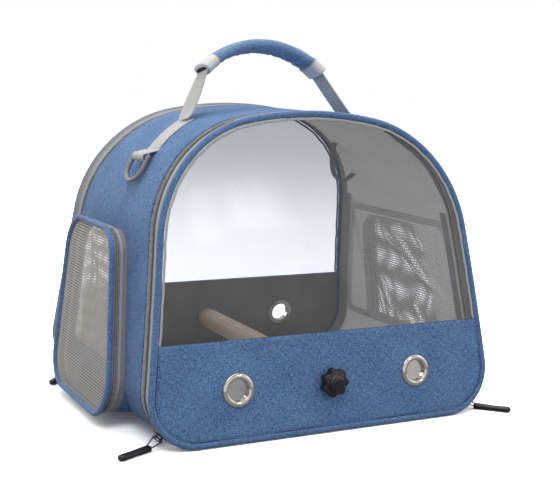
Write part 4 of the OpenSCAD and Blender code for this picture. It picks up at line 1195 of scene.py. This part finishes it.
# Each ring of the knob has a radius, a height and whether its radius is added to the star
layers = [
    (knob_bore, 0.0, 0), (8.0, 0.0, 0), (8.0, 2.2, 0), (9.6, 2.2, 0), (-1.1, 2.2, 1), (-0.35, 2.45, 1),
    (0.0, 3.1, 1), (0.0, 9.8, 1), (-0.25, 10.6, 1), (-0.9, 11.1, 1), (-1.9, 11.25, 1),
    (9.0, 11.3, 0), (9.05, 12.2, 0), (8.8, 13.2, 0), (8.0, 14.2, 0), (6.6, 15.0, 0), (4.6, 15.5, 0),
    (2.3, 15.68, 0), (0.0, 15.7, 0),
]
knob_rings = np.stack([a + starred * star_r for a, _, starred in layers])
knob_heights = np.array([h for _, h, _ in layers])[:, None]
washer_face = half_depth(PERCH_Z, 1.85) + 1.5
knob_points = xyz(
    knob_rings * np.cos(star), -washer_face - knob_heights, PERCH_Z + knob_rings * np.sin(star)
)
bore_heights = np.array([[0.0], [bore_depth]])
bore = xyz(knob_bore * np.cos(star), -washer_face - bore_heights, PERCH_Z + knob_bore * np.sin(star))
bore_end = np.stack([bore[1], bore[1] * 0 + (0, -washer_face - bore_depth, PERCH_Z)])
knob_out = knob_points - (0.0, -washer_face - 6, PERCH_Z)
around = star[None] * 10
for door, mirror in DOORS:
    low, cap = slice(cap_from + 1), slice(cap_from, None)
    knob_patches = [
        patch(knob_points[low], (around, knob_heights[low]), knob_out[low], mirror),
        patch(knob_points[cap], (around, knob_heights[cap]), knob_out[cap], mirror, 1),
        patch(bore, (around, bore_heights), (0, -washer_face - 4, PERCH_Z) - bore, mirror),
        patch(bore_end, (around, np.array([[0.0], [1.0]])), (0, 1, 0), mirror),
    ]
    knob = make_piece(door + "_star_knob", knob_patches, [knob_black, knob_gloss])
    fix(knob, door + "_nut", "knob_plastic", door + "_knob")


# Side pockets: a grey gusset sewn to the wall, a zip all round it, and a flap with a net face edged in blue
# piping. The flap hinges on its lower run, and the fixed half stays on the cabin.
gusset_cloth = cloth_finish("light_grey_gusset_cloth", ink(142, 141, 143), 1600, 0.85, 0.0002, 0.12, 0.15)


def wall_surface(b, grow):
    """Distance of the cabin's surface from the wall plane at b: flat above 0, the corner arc below."""
    arc = np.sqrt(np.maximum((CORNER_R + grow) ** 2 - np.minimum(b, 0) ** 2, 0.0)) - CORNER_R
    return np.where(b < 0, arc, grow)


pocket_seam = pocket_loop - 4 * pocket_normal
pocket_out = wall_way(pocket_normal)
pocket_rest = np.minimum(pocket_run, pocket_run[-1] - pocket_run)  # distance to the loop's start or end


def pocket_wall(low, high, rows, wave, mirror, finish=0):
    """The ring of cloth round the pocket between two distances out from the wall."""
    low, high = (np.broadcast_to(end, len(pocket_seam))[:, None] for end in (low, high))
    t = np.linspace(0, 1, rows)[None]
    e = low + (high - low) * t
    bulge = wave * np.sin(math.pi * t) * (wobble(pocket_run, 47, 0.7) * ease(pocket_rest / 20))[:, None]
    a, b = (pocket_seam[:, k, None] + pocket_normal[:, k, None] * bulge for k in (0, 1))
    out = np.broadcast_to(pocket_out[:, None], a.shape + (3,))
    return patch(on_wall(a, b, e), (pocket_run[:, None], e), out, mirror, finish)


def pocket_coil(e, mirror):
    """Half coil round the pocket at a distance out."""
    steps = np.linspace(0, pocket_run[-1], 900)
    loop = sampled(steps, pocket_run, pocket_loop - 3.1 * pocket_normal)
    place = on_wall(loop[:, 0], loop[:, 1], e)
    out = wall_way(sampled(steps, pocket_run, pocket_normal))
    return coil(place, np.broadcast_to(LEFT_OUT, place.shape), out, 2.1, 1.9, mirror)


flap_edge = pocket_loop - 3 * pocket_normal
ring_angles = np.linspace(0, 2 * math.pi, 19)
pucker = 0.1 * wobble(pocket_run, 8, 2.2) * ease(pocket_rest / 8)
flap_r = 3.05 + pucker[:, None] * np.cos(ring_angles)[None]
flap_profile = np.stack([flap_r * np.cos(ring_angles), flap_r * np.sin(ring_angles)], -1)
flap_centre = on_wall(flap_edge[:, 0], flap_edge[:, 1], 19.05)
flap_body = carry(flap_profile, flap_centre, pocket_out, np.broadcast_to(LEFT_OUT, pocket_out.shape))
# Below the wall the gusset stands on an apron of blue cloth that fills in the round corner of the cabin
skin_line = wall_surface(pocket_seam[:, 1], 2.0)
apron_line = np.maximum(skin_line, 0.8)
# Distances out from the wall: the gusset, its tape and the strip of painted shade under the fixed coil, then
# the flap's own
GUSSET_OUT, TAPE_OUT, SHADE_BED_OUT, FLAP_LOW, FLAP_TAPE, FLAP_OUT = 7.0, 9.7, 11.9, 12.35, 14.5, 16.4
net_edge = 4.7
for side, mirror in SIDES:
    gusset_patches = [
        pocket_wall(skin_line, apron_line, 6, 0.0, mirror, 2),
        pocket_wall(apron_line, GUSSET_OUT, 8, 0.5, mirror),
        pocket_wall(GUSSET_OUT, TAPE_OUT, 4, 0.0, mirror, 1),
        # A dark strip of painted shade lies under the fixed coil
        pocket_wall(TAPE_OUT, SHADE_BED_OUT, 3, 0.0, mirror, 3),
    ]
    gusset_looks = [gusset_cloth, tape_cloth, blue_cloth, coil_gap_shade]
    gusset = thicken(make_piece(side + "_pocket_gusset", gusset_patches, gusset_looks), 1.2)
    fix(gusset, "cabin", "pocket_fabric", side + "_pocket_frame")
    fixed_coil = make_piece(side + "_pocket_fixed_coil", [pocket_coil(11.1, mirror)], [coil_nylon])
    fix(fixed_coil, "cabin", "zip_tape")
    # The flap's tape is dark under its coil: painted shade between the coil's turns
    flap_patches = [
        pocket_wall(
            FLAP_LOW, FLAP_TAPE, 3, 0.0, mirror, 1
        ), pocket_wall(FLAP_TAPE, FLAP_OUT, 4, 0.0, mirror),
    ]
    flap_tape = thicken(make_piece(side + "_flap_tape", flap_patches, [tape_cloth, coil_gap_shade]), 1.0)
    fix(flap_tape, side + "_flap", "zip_tape", side + "_flap_side")
    flap_coil = make_piece(side + "_flap_coil", [pocket_coil(13.2, mirror)], [coil_nylon])
    fix(flap_coil, side + "_flap", "zip_tape")
    flap_cloth = (pocket_run[:, None], 3 * ring_angles[None])
    edge_patches = [patch(flap_body, flap_cloth, flap_body - flap_centre[:, None], mirror)]
    edge_cord = make_piece(side + "_flap_cord", edge_patches, [piping_cloth])
    fix(edge_cord, side + "_flap", "piping", side + "_flap_piping")
    face_patches = [net_sheet(
        pocket_loop, pocket_normal, -4.6, POCKET_LOW + net_edge, POCKET_TOP - net_edge, 18.4, pocket_net_fold,
        mirror, 110, 110,
    )]
    flap_face = make_piece(side + "_flap_face", face_patches, [pocket_net])
    fix(flap_face, side + "_flap", "net", side + "_flap_net")
slider_black = moulded_finish("dark_slider_enamel", ink(52, 52, 55), 0.35, 0.05)
for side in ("left", "right"):
    dress(side + "_pocket_slider", slider_black)


# Carrying straps: grey woven webbing 26 mm wide, sewn over each shoulder. Its lower end folds round the bar
# of a D-ring and its upper end rises to the grip.
ribs, rib_in, rib_out = effect(
    "webbing_ribs",
    [("Cloth", "Vector", None), ("Pitch", "Float", 520.0), ("Tone", "Color", (0.6, 0.6, 0.58, 1))],
    [("Color", "Color"), ("Height", "Float")],
)


def ridge(tree, value):
    """A round ridge for each step of 1 in a value."""
    return sum_of(tree, "ABSOLUTE", sum_of(tree, "SINE", sum_of(tree, "MULTIPLY", value, math.pi)))


rib_parts = parts_of(ribs, rib_in["Cloth"], rib_in["Pitch"])
rib_wave = ridge(ribs, rib_parts[0])
twill = ridge(ribs, sum_of(ribs, "ADD", sum_of(ribs, "MULTIPLY", rib_parts[0], 0.5), rib_parts[1]))
rib_height = sum_of(ribs, "MULTIPLY_ADD", twill, 0.5, rib_wave)
rib_fuzz = noise(ribs, scaled(ribs, rib_in["Cloth"], 1200, 300), 2.0)
rib_shade = sum_of(
    ribs, "MULTIPLY_ADD", rib_height, 0.1, sum_of(ribs, "MULTIPLY_ADD", rib_fuzz, 0.12, 0.86)
)
send(ribs, rib_out, Color=times(ribs, rib_in["Tone"], rib_shade), Height=rib_height)


def webbing_finish(name, tone):
    """Woven webbing with ribs across its width."""
    material, tree, shader = blank(name)
    band = on_cloth(tree, ribs, Tone=tone)
    put(tree, shader, {
        "Base Color": band["Color"], "Normal": relief(tree, band["Height"], 0.6, 0.0005),
        "Roughness": 0.8, "Sheen Weight": 0.2,
    })
    return material


webbing = webbing_finish("pale_grey_webbing", ink(192, 191, 188))


def on_shoulder(radius, degrees):
    """A place in X and Z round the left shoulder, at an angle to the left of straight up."""
    a = np.radians(degrees)
    return np.stack([-SHOULDER[0] - radius * np.sin(a), SHOULDER[1] + radius * np.cos(a)], -1)


# The strap leaves the roof where the handle turns, and its sewn part runs from there to the D-ring
exit_degrees, exit_r = 23, SHOULDER_R + 3.3
EXIT_X = SHOULDER[0] + exit_r * math.sin(math.radians(exit_degrees))
EXIT_Z = SHOULDER[1] + exit_r * math.cos(math.radians(exit_degrees)) + 0.3
HANDLE_Y, SEWN_END_Y, RING_Y = -4.0, -21.0, -26.0
STRAP_WIDTH, STRAP_THICK = 26.0, 1.3
bar_r, bar_slack, strap_half = 4.5 / 2, 0.9, 0.7
ring_at = on_shoulder(139.6, 52.3)
sewn = on_shoulder(SHOULDER_R + 1.9 + strap_half, np.linspace(22.6, 46, 40))
share = (-EXIT_X - sewn[:, 0]) / (-EXIT_X - sewn[-1, 0])
sewn_y = HANDLE_Y + share * (SEWN_END_Y - HANDLE_Y)
loop_r = bar_r + bar_slack + strap_half
from_ring = sewn[-1] - ring_at
tangent_angle = math.atan2(from_ring[1], from_ring[0]) + math.acos(loop_r / np.linalg.norm(from_ring))
tangent_point = ring_at + loop_r * np.array([math.cos(tangent_angle), math.sin(tangent_angle)])
free = even_line(sewn[-1], tangent_point, 10)[1:]
round_bar = tangent_angle + np.linspace(0, math.radians(318), 50)[1:]
bar_loop = ring_at + loop_r * np.stack([np.cos(round_bar), np.sin(round_bar)], 1)
strap_line = np.concatenate([sewn, free, bar_loop])
strap_y = np.concatenate([sewn_y, np.linspace(sewn_y[-1], RING_Y, 10)[1:], np.full(len(bar_loop), RING_Y)])
strap_place = xyz(strap_line[:, 0], strap_y, strap_line[:, 1])
strap_way = np.gradient(strap_place, axis=0)
turn_in = ease((np.arange(len(strap_place)) - 30) / 25)
strap_across = xyz(math.sin(math.radians(8)) * turn_in, -1.0, 0.0)
strap_across = unit(strap_across - strap_way * (
    (strap_across * strap_way).sum(1) / (strap_way**2).sum(1)
)[:, None])
strap_up = unit(np.cross(strap_way, strap_across))
strap_up *= np.sign((strap_up[:1] * (strap_place[:1] - (-SHOULDER[0], HANDLE_Y, SHOULDER[1]))).sum())
taper = np.stack([1 - 0.11 * turn_in, np.ones_like(turn_in)], 1)
strap_patches = [
    ribbon(strap_place, strap_across, strap_up, STRAP_WIDTH, STRAP_THICK, mirror, taper=taper)
    for mirror in ((1, 1), (-1, 1))
]
shoulder_straps = make_piece("shoulder_webbing", strap_patches, [webbing])
fix(shoulder_straps, "cabin", "webbing", "anchor_straps")
ring_enamel = moulded_finish("mauve_grey_enamel", ink(132, 128, 131), 0.42, 0.05)
dress("left_d_ring", ring_enamel)
dress("right_d_ring", ring_enamel)


# Handle: a foam core in a padded wrap of the blue cloth, closed by a sewn seam along its underside, with a
# grey end cover on each side where the webbing goes in. The straps are drawn with a bend where they leave the
# roof.
HANDLE = np.array([-6.0, HANDLE_Y, EXIT_Z])
tip = math.radians(12)
GRIP_R, GRIP_CENTRE = 104, -21
wrap_end, cover_end = math.radians(35), math.radians(44)


def on_handle(x, y, z):
    """Point in the leaning frame of the handle, whose X axis is the line where the straps leave the roof."""
    forth = HANDLE[1] + y * math.cos(tip) + z * math.sin(tip)
    return xyz(HANDLE[0] + x, forth, HANDLE[2] - y * math.sin(tip) + z * math.cos(tip))


def grip_tube(a, theta, thick, wide, swell=0.0, power=2.5):
    """Grip surface at angle a from its middle and theta round its flattened section."""
    c, s = np.cos(theta), np.sin(theta)
    r = (np.abs(c) ** power + np.abs(s) ** power) ** (-1 / power)
    out = GRIP_R + (thick / 2 + swell) * r * s
    return on_handle(out * np.sin(a), (wide / 2 + swell) * r * c, GRIP_CENTRE + out * np.cos(a))


wrap_a = np.radians(np.linspace(-35, 35, 150))[:, None]
theta = np.linspace(-math.pi / 2, 1.5 * math.pi, 73)[None]
seam = np.minimum(np.abs(theta + math.pi / 2), np.abs(theta - 1.5 * math.pi))
arc_mm = wrap_a * GRIP_R
puckers = 0.5 * np.sin(arc_mm * 0.9 + 1.1 * np.sin(arc_mm * 0.21)) + 0.5 * np.sin(arc_mm * 0.47 + 2.0)
swell = 0.25 * ripple(arc_mm, theta * 10, 34, 41) - 0.9 * np.exp(-((seam / 0.16) ** 2))
deep = 0.5 + 0.75 * ease((arc_mm + 5) / 35)
swell = swell + deep * puckers * np.exp(-((seam / 0.95) ** 2)) * (1 - np.exp(-((seam / 0.12) ** 2)))
swell = swell - 0.5 * (1 - ease((wrap_end - np.abs(wrap_a)) / 0.05)) - 0.25
WRAP_SIZE = (14, 32)
wrap_body = grip_tube(wrap_a, theta, *WRAP_SIZE, swell)
wrap_centre = grip_tube(wrap_a, theta, 0.01, 0.01)
# The grip's cloth is a paler copy of the blue cloth: painted light, for the light that falls on top of the
# grip.
grip_cloth_painted_light = melange_finish("blue_grip_cloth_lit_copy", ink(156, 192, 232), ink(40, 80, 136), 0.3)
wrap_cap = [np.stack([wrap_body[i], grip_tube(wrap_a[i], theta[0], 6, 18)]) for i in (0, -1)]
wrap_patches = [patch(wrap_body, (arc_mm, theta * 12), wrap_body - wrap_centre)]
for end, sign in zip(wrap_cap, (-1, 1)):
    wrap_patches.append(patch(end, (theta * 12, np.array([[0.0], [5.0]])), (sign, 0, -0.7)))
grip = make_piece("padded_grip_wrap", wrap_patches, [grip_cloth_painted_light])
fix(grip, "handle", "blue_fabric", "grip_wrap")

cover_patches, cream_patches = [], []
for sign in (-1, 1):
    degrees = np.concatenate([[35.15, 35.15], np.linspace(35.2, 43.4, 14), [43.8, 44.0, 44.0, 44.0]])
    a = sign * np.radians(degrees)[:, None]
    snug = 0.1 * np.sin(np.arange(14) * 1.3) + 0.1
    tight = np.concatenate([[-7.4, -0.6], snug, [-0.3, -1.2, -4.0, -7.45]])[:, None]
    body = grip_tube(a, theta, 15, 33, tight)
    heart = grip_tube(0 * a + sign * math.radians(40), theta, 0.01, 18)
    # The last rings of each cover turn in round the webbing and take the dark finish: painted shade in the
    # sleeve's mouth.
    for part, finish in ((slice(-1), 0), (slice(-2, None), 1)):
        cloth = (a[part] * GRIP_R, theta * 12)
        cover_patches.append(patch(body[part], cloth, body[part] - heart[part], finish=finish))
    ring_a = np.full(73, sign * wrap_end)
    centre = grip_tube(ring_a, theta[0], *WRAP_SIZE, 0.25)
    outward_way = unit(centre - grip_tube(ring_a, theta[0], 0.01, 14))
    along_way = grip_tube(ring_a + 0.01, theta[0], *WRAP_SIZE) - grip_tube(ring_a, theta[0], *WRAP_SIZE)
    cream_patches.append(ribbon(centre, unit(along_way), outward_way, 1.9, 0.9, ends=False))
cover_cloth = cloth_finish("pale_grey_cover_cloth", ink(228, 227, 224), 1600, 0.8, 0.0002, 0.08, 0.15)
# A dark cloth that paints the shade in the mouth of each sleeve.
slot_shade = cloth_finish("sleeve_mouth_painted_shade", ink(58, 58, 62), 1600, 0.9, 0.0002, 0.1, 0.0)
end_covers = make_piece("grip_end_sleeves", cover_patches, [cover_cloth, slot_shade])
fix(end_covers, "handle", "pocket_fabric", "grip_end_covers")
cream_edges = make_piece("grip_cream_edges", cream_patches, [pale_binding])
fix(cream_edges, "handle", "binding")


def bezier(p0, p1, p2, p3, t):
    """A cubic curve between two places, drawn to the two between them."""
    return p0 * (1 - t) ** 3 + 3 * p1 * t * (1 - t) ** 2 + 3 * p2 * t**2 * (1 - t) + p3 * t**3


handle_patches = []
for sign in (-1, 1):
    top_x = sign * (GRIP_R * math.sin(cover_end) - 1.0)
    top_point = np.array([top_x, GRIP_CENTRE + GRIP_R * math.cos(cover_end) - 1.4])
    foot = np.array([sign * (EXIT_X - 0.2) - HANDLE[0], 0.9])
    lie = np.array([sign * math.cos(math.radians(exit_degrees)), -math.sin(math.radians(exit_degrees))])
    t = np.linspace(0, 1, 46)[:, None]
    after = top_point + unit(top_point - foot)
    line = bezier(foot + lie * 4.0, foot + lie * 0.2, foot * 0.5 + after * 0.5, after, t)
    place = on_handle(line[:, 0], 0.0, line[:, 1])
    way = unit(np.gradient(place, axis=0))
    # The left strap is twisted a little to the front between its two sewn ends
    twist = math.radians(6.5 - 6.5 * sign) * np.sin(math.pi * t)
    across = (
        on_handle(0, 1, 0) - on_handle(0, 0, 0)
    ) * np.cos(twist) + np.array([sign, 0.0, 0.0]) * np.sin(twist)
    up_way = np.cross(across, way) * -sign
    handle_patches.append(ribbon(place, across, up_way, STRAP_WIDTH, 1.35))
lift_straps = make_piece("handle_webbing", handle_patches, [webbing])
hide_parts("handle_straps")
tuple(on_handle(0, 0, 0.0) * 0.001)
tuple(on_handle(0, 0, 22.0) * 0.001)
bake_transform(lift_straps)


# Toy loop and hinge strips: a short loop of grey webbing sewn under the rear right shoulder, and the strips
# of cloth that join the bottom edge of each door to the base.
dark_webbing = webbing_finish("dark_grey_webbing", ink(116, 116, 120))
t = np.linspace(0, 1, 60)[:, None]
toy_from, toy_to = (on_shoulder(SHOULDER_R - 4.4, degrees) * (-1, 1) for degrees in (43, 65))
toy_line = bezier(toy_from, toy_from + (-9, -34), toy_to + (-22, -24), toy_to, t)
toy_place = xyz(toy_line[:, 0], 80.0, toy_line[:, 1])
toy_across = np.broadcast_to(-OUTWARD, toy_place.shape)
toy_up = unit(np.cross(np.gradient(toy_place, axis=0), toy_across))
toy = make_piece("toy_hanging_loop", [ribbon(toy_place, toy_across, toy_up, 12, 1.1)], [dark_webbing])
fix(toy, "cabin", "webbing_dark", "toy_loop")

hinge_x = np.linspace(-139.6, 139.6, 90)
hinge_patches = []
hinge_place = xyz(hinge_x, -half_depth(0.0, BASE_INSET) - 0.45, 1.9)
hinge_across, hinge_up = (np.tile(way, (len(hinge_x), 1)) for way in ((0.0, 0.0, 1.0), OUTWARD))
for mirror in ((1, 1), (1, -1)):
    hinge_patches.append(ribbon(hinge_place, hinge_across, hinge_up, 3.0, 0.6, mirror))
hinge_cloth = make_piece("door_hinge_cloth", hinge_patches, [blue_cloth])
fix(hinge_cloth, "cabin", "blue_fabric", "hinge_strips")


# Tray and stiffeners: a white enamelled steel tray on the base, boards in the base and in the lower panels,
# flat spring hoops in the edges of the cabin, and the foam core of the grip.
dress("tray", moulded_finish("white_enamelled_steel", ink(222, 224, 226), 0.3, 0.03))
dress("spring_hoops", steel)
board_plastic = moulded_finish("hollow_board", ink(96, 100, 104), 0.6, 0.3, 300.0)
for node in ("base_board", "front_board", "rear_board"):
    dress(node, board_plastic)
dress("grip_core", moulded_finish("grip_foam", ink(88, 88, 92), 0.8, 0.6, 700.0))


# Sliders and pulls: an enamelled slider at each end of the two door zips, with a wire loop and a moulded
# rubber pull that rests on the floor.
dress("door_sliders", slider_black)
pull_rubber = moulded_finish("black_pull_rubber", ink(26, 26, 28), 0.38, 0.1)
SLIDER_ANGLE = math.radians(50)  # of a slider below the level of the corner's centre
slider_way = np.array([math.cos(SLIDER_ANGLE), 0.0, math.sin(SLIDER_ANGLE)])
bail_r = CORNER_R + 0.1 + 2.2 + 0.4 + 1.6 + 2.1
bail_at = np.array([-CORNER_X, -half_depth(ZIP_END_Z, -18.9), CORNER_Z]) - bail_r * slider_way
# The bar of a pull: its half width and half height along it, with a rounded tip and a thumb dent
BAR_HALF, BAR_END, TIP_R = 4.0, 38, 4
to_tip = np.linspace(0, math.pi / 2, 11)
along = np.concatenate([[0.8, 0.8, 1.2], np.linspace(2.0, 37.4, 30), BAR_END + TIP_R * np.sin(to_tip)])
wide = np.concatenate([[0.02, 2.9, 3.5], np.full(30, BAR_HALF), BAR_HALF * np.cos(to_tip)])
wide = np.maximum(wide, 0.02)
thick = np.minimum(3.0, 0.72 * wide + 0.1) - 0.35 * np.exp(-(((along - 24) / 9.0) ** 4))
around = np.linspace(0, 2 * math.pi, 25)[None]
round_r = (np.abs(np.cos(around)) ** 3 + np.abs(np.sin(around)) ** 3) ** (-1 / 3)


def round_wire(place, radius, mirror):
    """A round wire along a path, with closed ends."""
    way = unit(np.gradient(place, axis=0))
    side = unit(np.cross(way, (0.3, 0.2, 1.0)))
    ring = arc_points(0, 0, radius, 0, 360, 13)[:, :2]
    body = capped(carry(ring, place, side, np.cross(way, side)), place)
    so_far = run_of(place)
    so_far = np.concatenate([so_far[:1], so_far, so_far[-1:]])
    return patch(body, (so_far[:, None], run_of(ring)[None]), body - ring_middles(body), mirror)


def zip_pull(heading, mirror):
    """The moulded bar and the wire loop of a pull that lies on the floor along a heading in degrees."""
    head = math.radians(heading)
    onward = np.array([math.cos(head), math.sin(head), 0.0])
    across = np.array([math.sin(head), -math.cos(head), 0.0])
    # The pin of the loop lies through the slot of the slider, square to the slider's own direction
    pin = unit(across - across @ slider_way * slider_way)
    root = bail_at + 11.3 * onward
    root[2] = 3.4  # the middle of a bar 6 mm high, just above the floor
    bar_middle = root + along[:, None, None] * onward
    bar = bar_middle + (wide[:, None] * round_r * np.cos(around))[..., None] * across
    bar = bar + (thick[:, None] * round_r * np.sin(around))[..., None] * np.array([0.0, 0.0, 1.0])
    leg, bend = 4 * onward, onward - (0, 0, 1.0)
    loop = np.array([
        root + leg + 2.6 * across, bail_at + 6.6 * pin + bend, bail_at + 6.2 * pin, bail_at,
        bail_at - 6.2 * pin, bail_at - 6.6 * pin + bend, root + leg - 2.6 * across,
    ])
    loop_run = run_of(loop)
    loop = sampled(np.linspace(0, loop_run[-1], 70), loop_run, loop)
    for _ in range(3):
        loop[1:-1] = 0.25 * loop[:-2] + 0.5 * loop[1:-1] + 0.25 * loop[2:]
    return [
        patch(bar, (along[:, None], around * 3), bar - bar_middle, mirror), round_wire(loop, 0.7, mirror)
    ]


for door, side, heading, mirror in (
    ("front", "left", 205, (1, 1)), ("front", "right", 225, (-1, 1)),
    ("rear", "left", 130, (1, -1)), ("rear", "right", 205, (-1, -1)),
):
    tab = make_piece(f"{door}_{side}_zip_pull", zip_pull(heading, mirror), [pull_rubber])
    fix(tab, f"{door}_{side}_tab", "pull_rubber", f"{door}_{side}_pull")


# Stitching: thread rows where the pieces are sewn. Each stitch is a small spindle, half sunk in the cloth.
thread = cloth_finish("grey_blue_thread", ink(120, 138, 168), 3000, 0.7, 0.0001, 0.05, 0.2)
pale_thread = cloth_finish("pale_thread", ink(196, 194, 190), 3000, 0.7, 0.0001, 0.05, 0.2)
thread_and_groove_shade = cloth_finish("navy_thread_and_groove_shade", ink(44, 58, 92), 3000, 0.7, 0.0001, 0.05, 0.2)


def stitches(place, up, pitch=3.4, length=2.5, width=0.55, mirror=(1, 1), finish=0):
    """A row of spindles along a path: two rings of five points and two ends each."""
    total = run_of(place)
    t = np.arange(pitch, total[-1] - pitch, pitch)
    middle, up = (sampled(t, total, np.broadcast_to(field, place.shape)) for field in (place, up))
    way = unit(np.gradient(middle, axis=0))
    side = unit(np.cross(way, up))
    stations = np.array([-0.5, -0.3, 0.3, 0.5])[:, None] * length
    girth = np.array([0.0, 0.5, 0.5, 0.0])[:, None, None] * width
    ring = np.linspace(0, 2 * math.pi, 6)[:, None]
    round_way = np.cos(ring) * side[:, None, None] + np.sin(ring) * up[:, None, None]
    p = middle[:, None, None] + stations[..., None] * way[:, None, None] + girth * round_way
    one = patch(p[0], (stations, ring.T), p[0] - middle[0])
    quads = (one[2][None] + len(one[0]) * np.arange(len(t))[:, None, None]).reshape(-1, 4)
    if mirror[0] * mirror[1] < 0:
        quads = quads[:, ::-1]
    return (p * (*mirror, 1.0)).reshape(-1, 3), np.tile(one[1], (len(t), 1)), quads, finish


def face_row(x, z, grow):
    """Path on the front face."""
    return xyz(x, -half_depth(z, grow), z)


seam_u = np.linspace(-zip_end, zip_end, 500)
for door, mirror in DOORS:
    hem_half = width_at(HEM_STITCH_Z, -4.5)
    hem_row = face_row(np.linspace(-hem_half, hem_half, 200), HEM_STITCH_Z, 1.62)
    low_u = np.linspace(run_at(101.0, -5.4), HALF_RUN, 260)
    right_x, right_z = outline(low_u, -5.4)[:2]
    groove_x, groove_z, groove_nx, groove_nz = outline(low_u, -3.75)
    threads = [
        stitches(hem_row, OUTWARD, mirror=mirror),
        stitches(face_row(right_x, right_z, 1.7), OUTWARD, mirror=mirror, finish=2),
        stitches(face_row(-right_x, right_z, 1.7), OUTWARD, mirror=mirror, finish=2),
        stitches(bind_place + 0.5 * OUTWARD, OUTWARD, 3.0, 2.2, 0.45, mirror, 1),
    ]
    # In the groove where each side of the panel meets the piping lies a dark cord of the navy thread's
    # finish: painted shade.
    for way in (1, -1):
        groove_across = xyz(way * groove_nx, 0, groove_nz)
        groove_up = np.broadcast_to(OUTWARD, groove_across.shape)
        groove = face_row(way * groove_x, groove_z, 1.35)
        threads.append(ribbon(groove, groove_across, groove_up, 0.9, 0.5, mirror, 2))
    row_place, row_up = rim(seam_u, 0.0, TAPE_SEAM)
    threads.append(stitches(row_place, row_up, 3.2, 2.3, 0.5, mirror, 1))
    door_thread = make_piece(door + "_door_stitching", threads, [thread, pale_thread, thread_and_groove_shade])
    fix(door_thread, door + "_door", "binding")

threads = []
for mirror in ((1, 1), (1, -1)):
    row_place, row_up = rim(seam_u, 1.85, 28.6)
    threads.append(stitches(row_place, row_up, 3.4, 2.4, 0.5, mirror))
strap_top = strap_place + strap_half * strap_up
for mirror in ((1, 1), (-1, 1)):
    edge = pocket_loop - 3.95 * pocket_normal
    threads.append(stitches(on_wall(edge[:, 0], edge[:, 1], 7.4), pocket_out, 3.2, 2.2, 0.45, mirror, 1))
    net_row = net_loop - 1.0 * net_normal
    net_row = on_wall(net_row[:, 0], net_row[:, 1], -4.45)
    threads.append(stitches(net_row, -LEFT_OUT, 3.0, 2.1, 0.45, mirror, 1))
    for station, span in ((6, 10.5), (34, 10.0), (38, 10.0)):
        across = np.linspace(-span, span, 24)[:, None]
        row_place = strap_top[station] + across * strap_across[station]
        threads.append(stitches(row_place, strap_up[station], 2.4, 1.8, 0.5, mirror, 1))
    for sign in (-1, 1):
        row_place = strap_top[6:35] + sign * 10.6 * strap_across[6:35]
        threads.append(stitches(row_place, strap_up[6:35], 2.6, 1.9, 0.45, mirror, 1))
cabin_thread = make_piece("cabin_stitching", threads, [thread, pale_thread])
fix(cabin_thread, "cabin", "binding")
